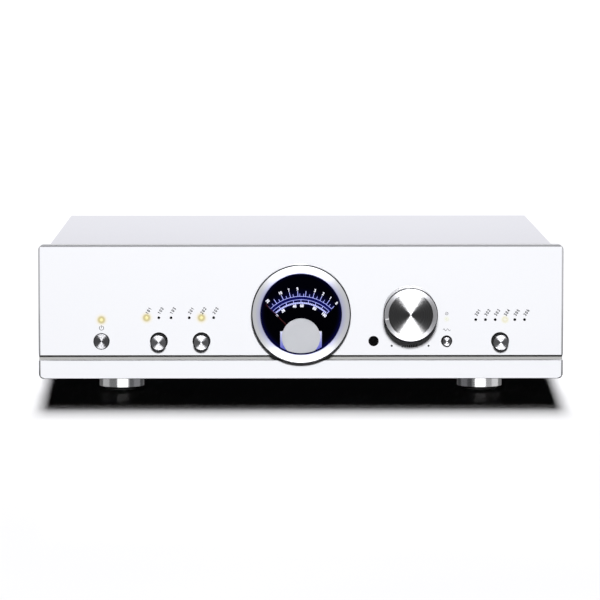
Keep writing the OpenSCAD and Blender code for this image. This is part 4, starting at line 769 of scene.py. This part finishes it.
# A rising row of strokes under the knob, and a dot at either end of its travel
marks.append(([[(VOLUME_X + x, LIFT + 25.9), (VOLUME_X + x, LIFT + 26.6 + (x + 7) * 0.13)]
               for x in np.arange(-6, 7, 1.5)], 0.6))
marks.append(([arc(0.4, 0, 360, (VOLUME_X + x, LIFT + 27.1), 16) for x in (-14.6, 15.6)], 0.8))
make("panel_marks", ribbons(marks, FRONT - 0.03), "chassis", INK)

# Numbers over the jack columns, for someone behind the object, and an arrow over the last column
JACK_Z = LIFT + 82.5
columns = []
for i in range(6):
    columns.append(([line * (-1, 1) for line in number(str(i + 1), (-(158 - 30 * i), JACK_Z), 3.4)], 0.5))
ARROW = ([(0, 1.9), (0, -1.9)], [(1.4, 0), (0, -1.9), (-1.4, 0)])
columns.append(([np.array(line) + (-22, JACK_Z) for line in ARROW], 0.5))
make("jack_marks", ribbons(columns, REAR + 0.03, True), "chassis", INK)

# Pointer: enamel strip on the knob's rim, between two (radius, distance in front of the panel) ends
POINTER_ANGLE, POINTER_HALF_W = -100, 0.45
POINTER = ((18.15, 27.03), (20.95, 26.83))
side = turn([(POINTER_HALF_W, 0)], POINTER_ANGLE)[0]
ahead = turn([(0, 1)], POINTER_ANGLE)[0]
corners = [(POINTER[0], -1), (POINTER[1], -1), (POINTER[1], 1), (POINTER[0], 1)]
strip = [np.array([VOLUME_X, AXIS_Z]) + ahead * r + side * s for (r, _), s in corners]
points = np.array([(p[0], FRONT - out, p[1]) for p, ((_, out), _) in zip(strip, corners)])
make("pointer", (points, np.array([[3, 2, 1, 0]]), np.array(strip)[None]), "volume", ENAMEL)


# Studio, in metres

scene = bpy.context.scene
CAMERA_AT = np.array([-0.0235, -3.162, 0.3672])
AIM = np.array([-0.0008, -0.162, 0.07705])
LENS, SENSOR = 220.9, 36
turned_pieces = [knob, rim, bezel, *faces_of.values()]
shown = list(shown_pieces())
cover, panel = nodes["top_cover"], nodes["front_panel"]


def collection(name, objects):
    """Collection outside the scene, for lights that reach only some objects."""
    group = bpy.data.collections.new(name)
    for obj in objects:
        group.objects.link(obj)
    return group


def facing(start, end):
    """Rotation that points a light or a camera from one place to another."""
    direction = np.array(end, float) - np.array(start, float)
    flat = math.hypot(direction[0], direction[1])
    return math.atan2(flat, -direction[2]), 0, math.atan2(-direction[0], direction[1])


plain = collection("plain_pieces", [o for o in shown if o not in turned_pieces + [drums, cover]])
feet_only = collection("feet_pieces", [drums])
part_only = collection("part", shown)


def lamp(name, at, towards, receivers, **settings):
    """Area light at one place, pointed at another, that only the part blocks."""
    data = bpy.data.lights.new(name, "AREA")
    for key, value in settings.items():
        setattr(data, key, value)
    obj = bpy.data.objects.new(name, data)
    scene.collection.objects.link(obj)
    obj.location = at
    obj.rotation_euler = facing(at, towards)
    obj.visible_camera = False
    obj.light_linking.blocker_collection = part_only
    obj.light_linking.receiver_collection = receivers
    return obj


def sheet(name, corners, mat=None):
    """Flat piece of the studio."""
    mesh = bpy.data.meshes.new(name)
    mesh.from_pydata(corners, [], [tuple(range(len(corners)))])
    if mat:
        mesh.materials.append(mat)
    obj = bpy.data.objects.new(name, mesh)
    scene.collection.objects.link(obj)
    return obj


def card(name, corners, strength, receivers):
    """Glowing sheet that only some pieces reflect."""
    mat, tree, _ = surface(name)
    tree.nodes.clear()
    add(tree, "OutputMaterial", {"Surface": add(tree, "Emission", {"Strength": strength})})
    obj = sheet(name, corners, mat)
    obj.visible_camera = obj.visible_shadow = False
    obj.light_linking.receiver_collection = receivers


# Light over the top cover, and low ones for its edges and its rear lip, none of which it mirrors
on_cover = collection("cover", [cover])
for name, at, towards, energy, size in (
        ("above", (0, 0.35, 2.4), (0, 0, 0.12), 84.5, 0.6),
        ("edge_left", (-2.5, 0, 0.05), (0, 0, 0.11), 60, 0.1),
        ("edge_right", (2.5, 0, 0.05), (0, 0, 0.11), 60, 0.1),
        ("edge_rear", (0, 2.5, 0.05), (0, 0, 0.11), 60, 0.1)):
    lamp(name, at, towards, on_cover, energy=energy, size=size).visible_glossy = False
# Key from above the camera
PANEL_MIDDLE = (0, -0.16, 0.065)
lamp("key", (0.04, -3.05, 0.95), PANEL_MIDDLE, plain, energy=90.3, size=0.3, shape="DISK")
# Weak fill that opens up the shadows on the panel
lamp("fill", (0, -3, 0.5), PANEL_MIDDLE, collection("panel", [panel]), energy=5, size=2.0, use_shadow=False)
# Fill for the sides and the rear
for x in (-1, 1):
    lamp("side_%d" % x, (2.4 * x, 1.0, 1.1), (0, 0.05, 0.06), plain, energy=70, size=1.3)
behind = collection("pieces_behind", [o for o in plain.objects if o != panel])
lamp("rear", (0.3, 3.0, 1.3), (0, 0.17, 0.06), behind, energy=70, size=1.3)

# Cards above and below the point that each turned face mirrors to the camera, for its bow-tie gloss: each row
# gives the slopes of the upper card's left and right edges, then the lower one's, and the strengths of both
CARD_Y = -6.16
NEAR_END, FAR_END = 2.0, 9.0
GLOSS = [
    ([knob, rim], VOLUME_X, AXIS_Z, KNOB_OUT, (0.60, 0.66), (0.62, 0.64), (22.0, 22.0)),
    ([bezel], 0, METER_Z, BEZEL_OUT, (1.00, 0.88), (0.72, 0.74), (10.0, 10.0)),
    ([faces_of["power_button"]], POWER_X, ROW_Z, POWER_OUT, (0.53, 0.75), (0.62, 0.47), (18.0, 12.5)),
    ([faces_of["left_select_button"]], LEFT_X, ROW_Z, SELECT_OUT, (0.90, 0.90), (0.72, 0.72), (19.0, 19.0)),
    ([faces_of["centre_select_button"]], CENTRE_X, ROW_Z, SELECT_OUT, (0.90, 0.90), (0.72, 0.72),
     (19.0, 19.0)),
    ([faces_of["input_button"]], INPUT_X, ROW_Z, SELECT_OUT, (0.76, 0.76), (0.85, 0.76), (19.0, 19.0)),
    ([faces_of["tone_button"]], TONE_X, ROW_Z, TONE_OUT, (0.75, 0.75), (0.75, 0.75), (19.0, 19.0)),
]
for pieces, x, z, out, upper, lower, strengths in GLOSS:
    face = np.array([x, FRONT - out, z]) * MM
    ray = (face - CAMERA_AT) * (1, -1, 1)
    apex = face + ray * (CARD_Y - face[1]) / ray[1]
    group = collection(pieces[0].name + "_gloss", pieces)
    for which, sign, (left, right), strength in zip(("upper", "lower"), (1, -1), (upper, lower), strengths):
        ends = ((NEAR_END, -left), (NEAR_END, right), (FAR_END, right), (FAR_END, -left))
        card("%s_%s_card" % (pieces[0].name, which), [apex + (slope * d, 0, sign * d) for d, slope in ends],
             strength, group)

# Cards round the feet: a white one in front and grey ones beside it, each upright from one point to another
CARD_FOOT, CARD_TOP = -2, 3
for name, start, end, strength in (
        ("front_card", (-1.6, -4), (2.4, -4), 2.4), ("left_card", (-4, -1.85), (-1.6, -4), 0.25),
        ("right_card", (2.4, -4), (4, -1.85), 0.5), ("left_side_card", (-4, 1.5), (-4, -1.85), 0.58),
        ("right_side_card", (4, -1.85), (4, 1.5), 0.9), ("left_rear_card", (-1, 8), (-4, 1.5), 0.15),
        ("right_rear_card", (4, 1.5), (1, 8), 0.24)):
    card(name, [(*start, CARD_FOOT), (*end, CARD_FOOT), (*end, CARD_TOP), (*start, CARD_TOP)],
         strength, feet_only)

# Floor: pale painted board with a trace of mirror gloss
FLOOR_HALF, FLOOR_Z, FLOOR_GLOSS = 120, -0.2 * MM, 0.02
floor_mat, tree, shader = surface("painted_board")
mottle = grain(tree, add(tree, "TexCoord", out="Object"), 400.0)
set_inputs(tree, shader, {
    "Base Color": add(tree, "ValToRGB", [mottle], stops=[(LOW, "f4f4f6"), (HIGH, "f8f8fa")]),
    "Roughness": 0.9,
    "Specular IOR Level": 0.0})
gloss = add(tree, "BsdfGlossy", {"Roughness": 0.05})
mixed = add(tree, "MixShader", (FLOOR_GLOSS, shader.outputs["BSDF"], gloss))
set_inputs(tree, tree.nodes["Material Output"], {"Surface": mixed})
floor = sheet("floor", [
    (x * FLOOR_HALF, y * FLOOR_HALF, FLOOR_Z) for x, y in ((-1, -1), (1, -1), (1, 1), (-1, 1))], floor_mat)
floor.visible_diffuse = floor.visible_glossy = floor.visible_transmission = floor.visible_shadow = False

# Pieces that throw no light on what is round them, and turned ones that nothing mirrors
no_spill = ("meter_lens", "meter_dial", "meter_can", "meter_pivot_cover", "meter_light_guides", "lamps_lit")
for obj in turned_pieces + [drums, panel, dial_marks, bore_shade_sheet] + [nodes[name] for name in no_spill]:
    obj.visible_diffuse = False
for obj in turned_pieces:
    obj.visible_glossy = False
nodes["meter_lens"].visible_shadow = False

# Light from behind and above, which whitens the floor and leaves a deep shadow in front of the panel. An
# unseen flag over the case, a little wider to the rear, shapes the shadow's sides. The light's strength is in
# watts per square metre that faces it, and its size in shares of its distance
FAR = 60.0
SKY_LIGHT, SKY_WIDTH, SKY_HEIGHT = 5.4, 0.07, 0.29
FLAG_Z = 0.121
FLAG = ((-0.206, -0.152), (0.206, -0.152), (0.216, 0.12), (-0.216, 0.12))
flag = sheet("flag", [(x, y, FLAG_Z) for x, y in FLAG])
flag.visible_camera = flag.visible_diffuse = flag.visible_glossy = flag.visible_transmission = False
shadow_casters = collection("shadow_casters", [flag, cover, nodes["rear_panel"]])
lit = collection("floor_and_turned", [floor, *turned_pieces, drums])
for name, back, share in (("overhead", 1.11, 0.89), ("overhead_front", 0.85, 0.11)):
    at = np.array([0, back, 1.0]) / math.hypot(back, 1) * FAR
    sky_light = lamp(name, at, (0, 0, 0), lit, energy=SKY_LIGHT * math.pi * FAR ** 2 * share,
                     shape="RECTANGLE", size=SKY_WIDTH * FAR, size_y=SKY_HEIGHT * FAR)
    sky_light.light_linking.blocker_collection = shadow_casters

# World: white to the camera, dim to the object
world = bpy.data.worlds.new("studio")
scene.world = world
world.use_nodes = True
tree = world.node_tree
tree.nodes.clear()
seen = add(tree, "LightPath", out="Is Camera Ray")
power = add(tree, "MapRange", {"Value": seen, "To Min": 0.003, "To Max": 1.0})
sky = add(tree, "Background", {"Color": (1, 1, 1, 1), "Strength": power})
add(tree, "OutputWorld", {"Surface": sky})

# Camera at the photograph's angle
camera = bpy.data.objects.new("camera", bpy.data.cameras.new("camera"))
scene.collection.objects.link(camera)
camera.data.lens = LENS
camera.data.sensor_width = SENSOR
camera.data.clip_end = 200
camera.location = CAMERA_AT
camera.rotation_euler = facing(CAMERA_AT, AIM)
scene.camera = camera
scene.view_settings.view_transform = "Standard"
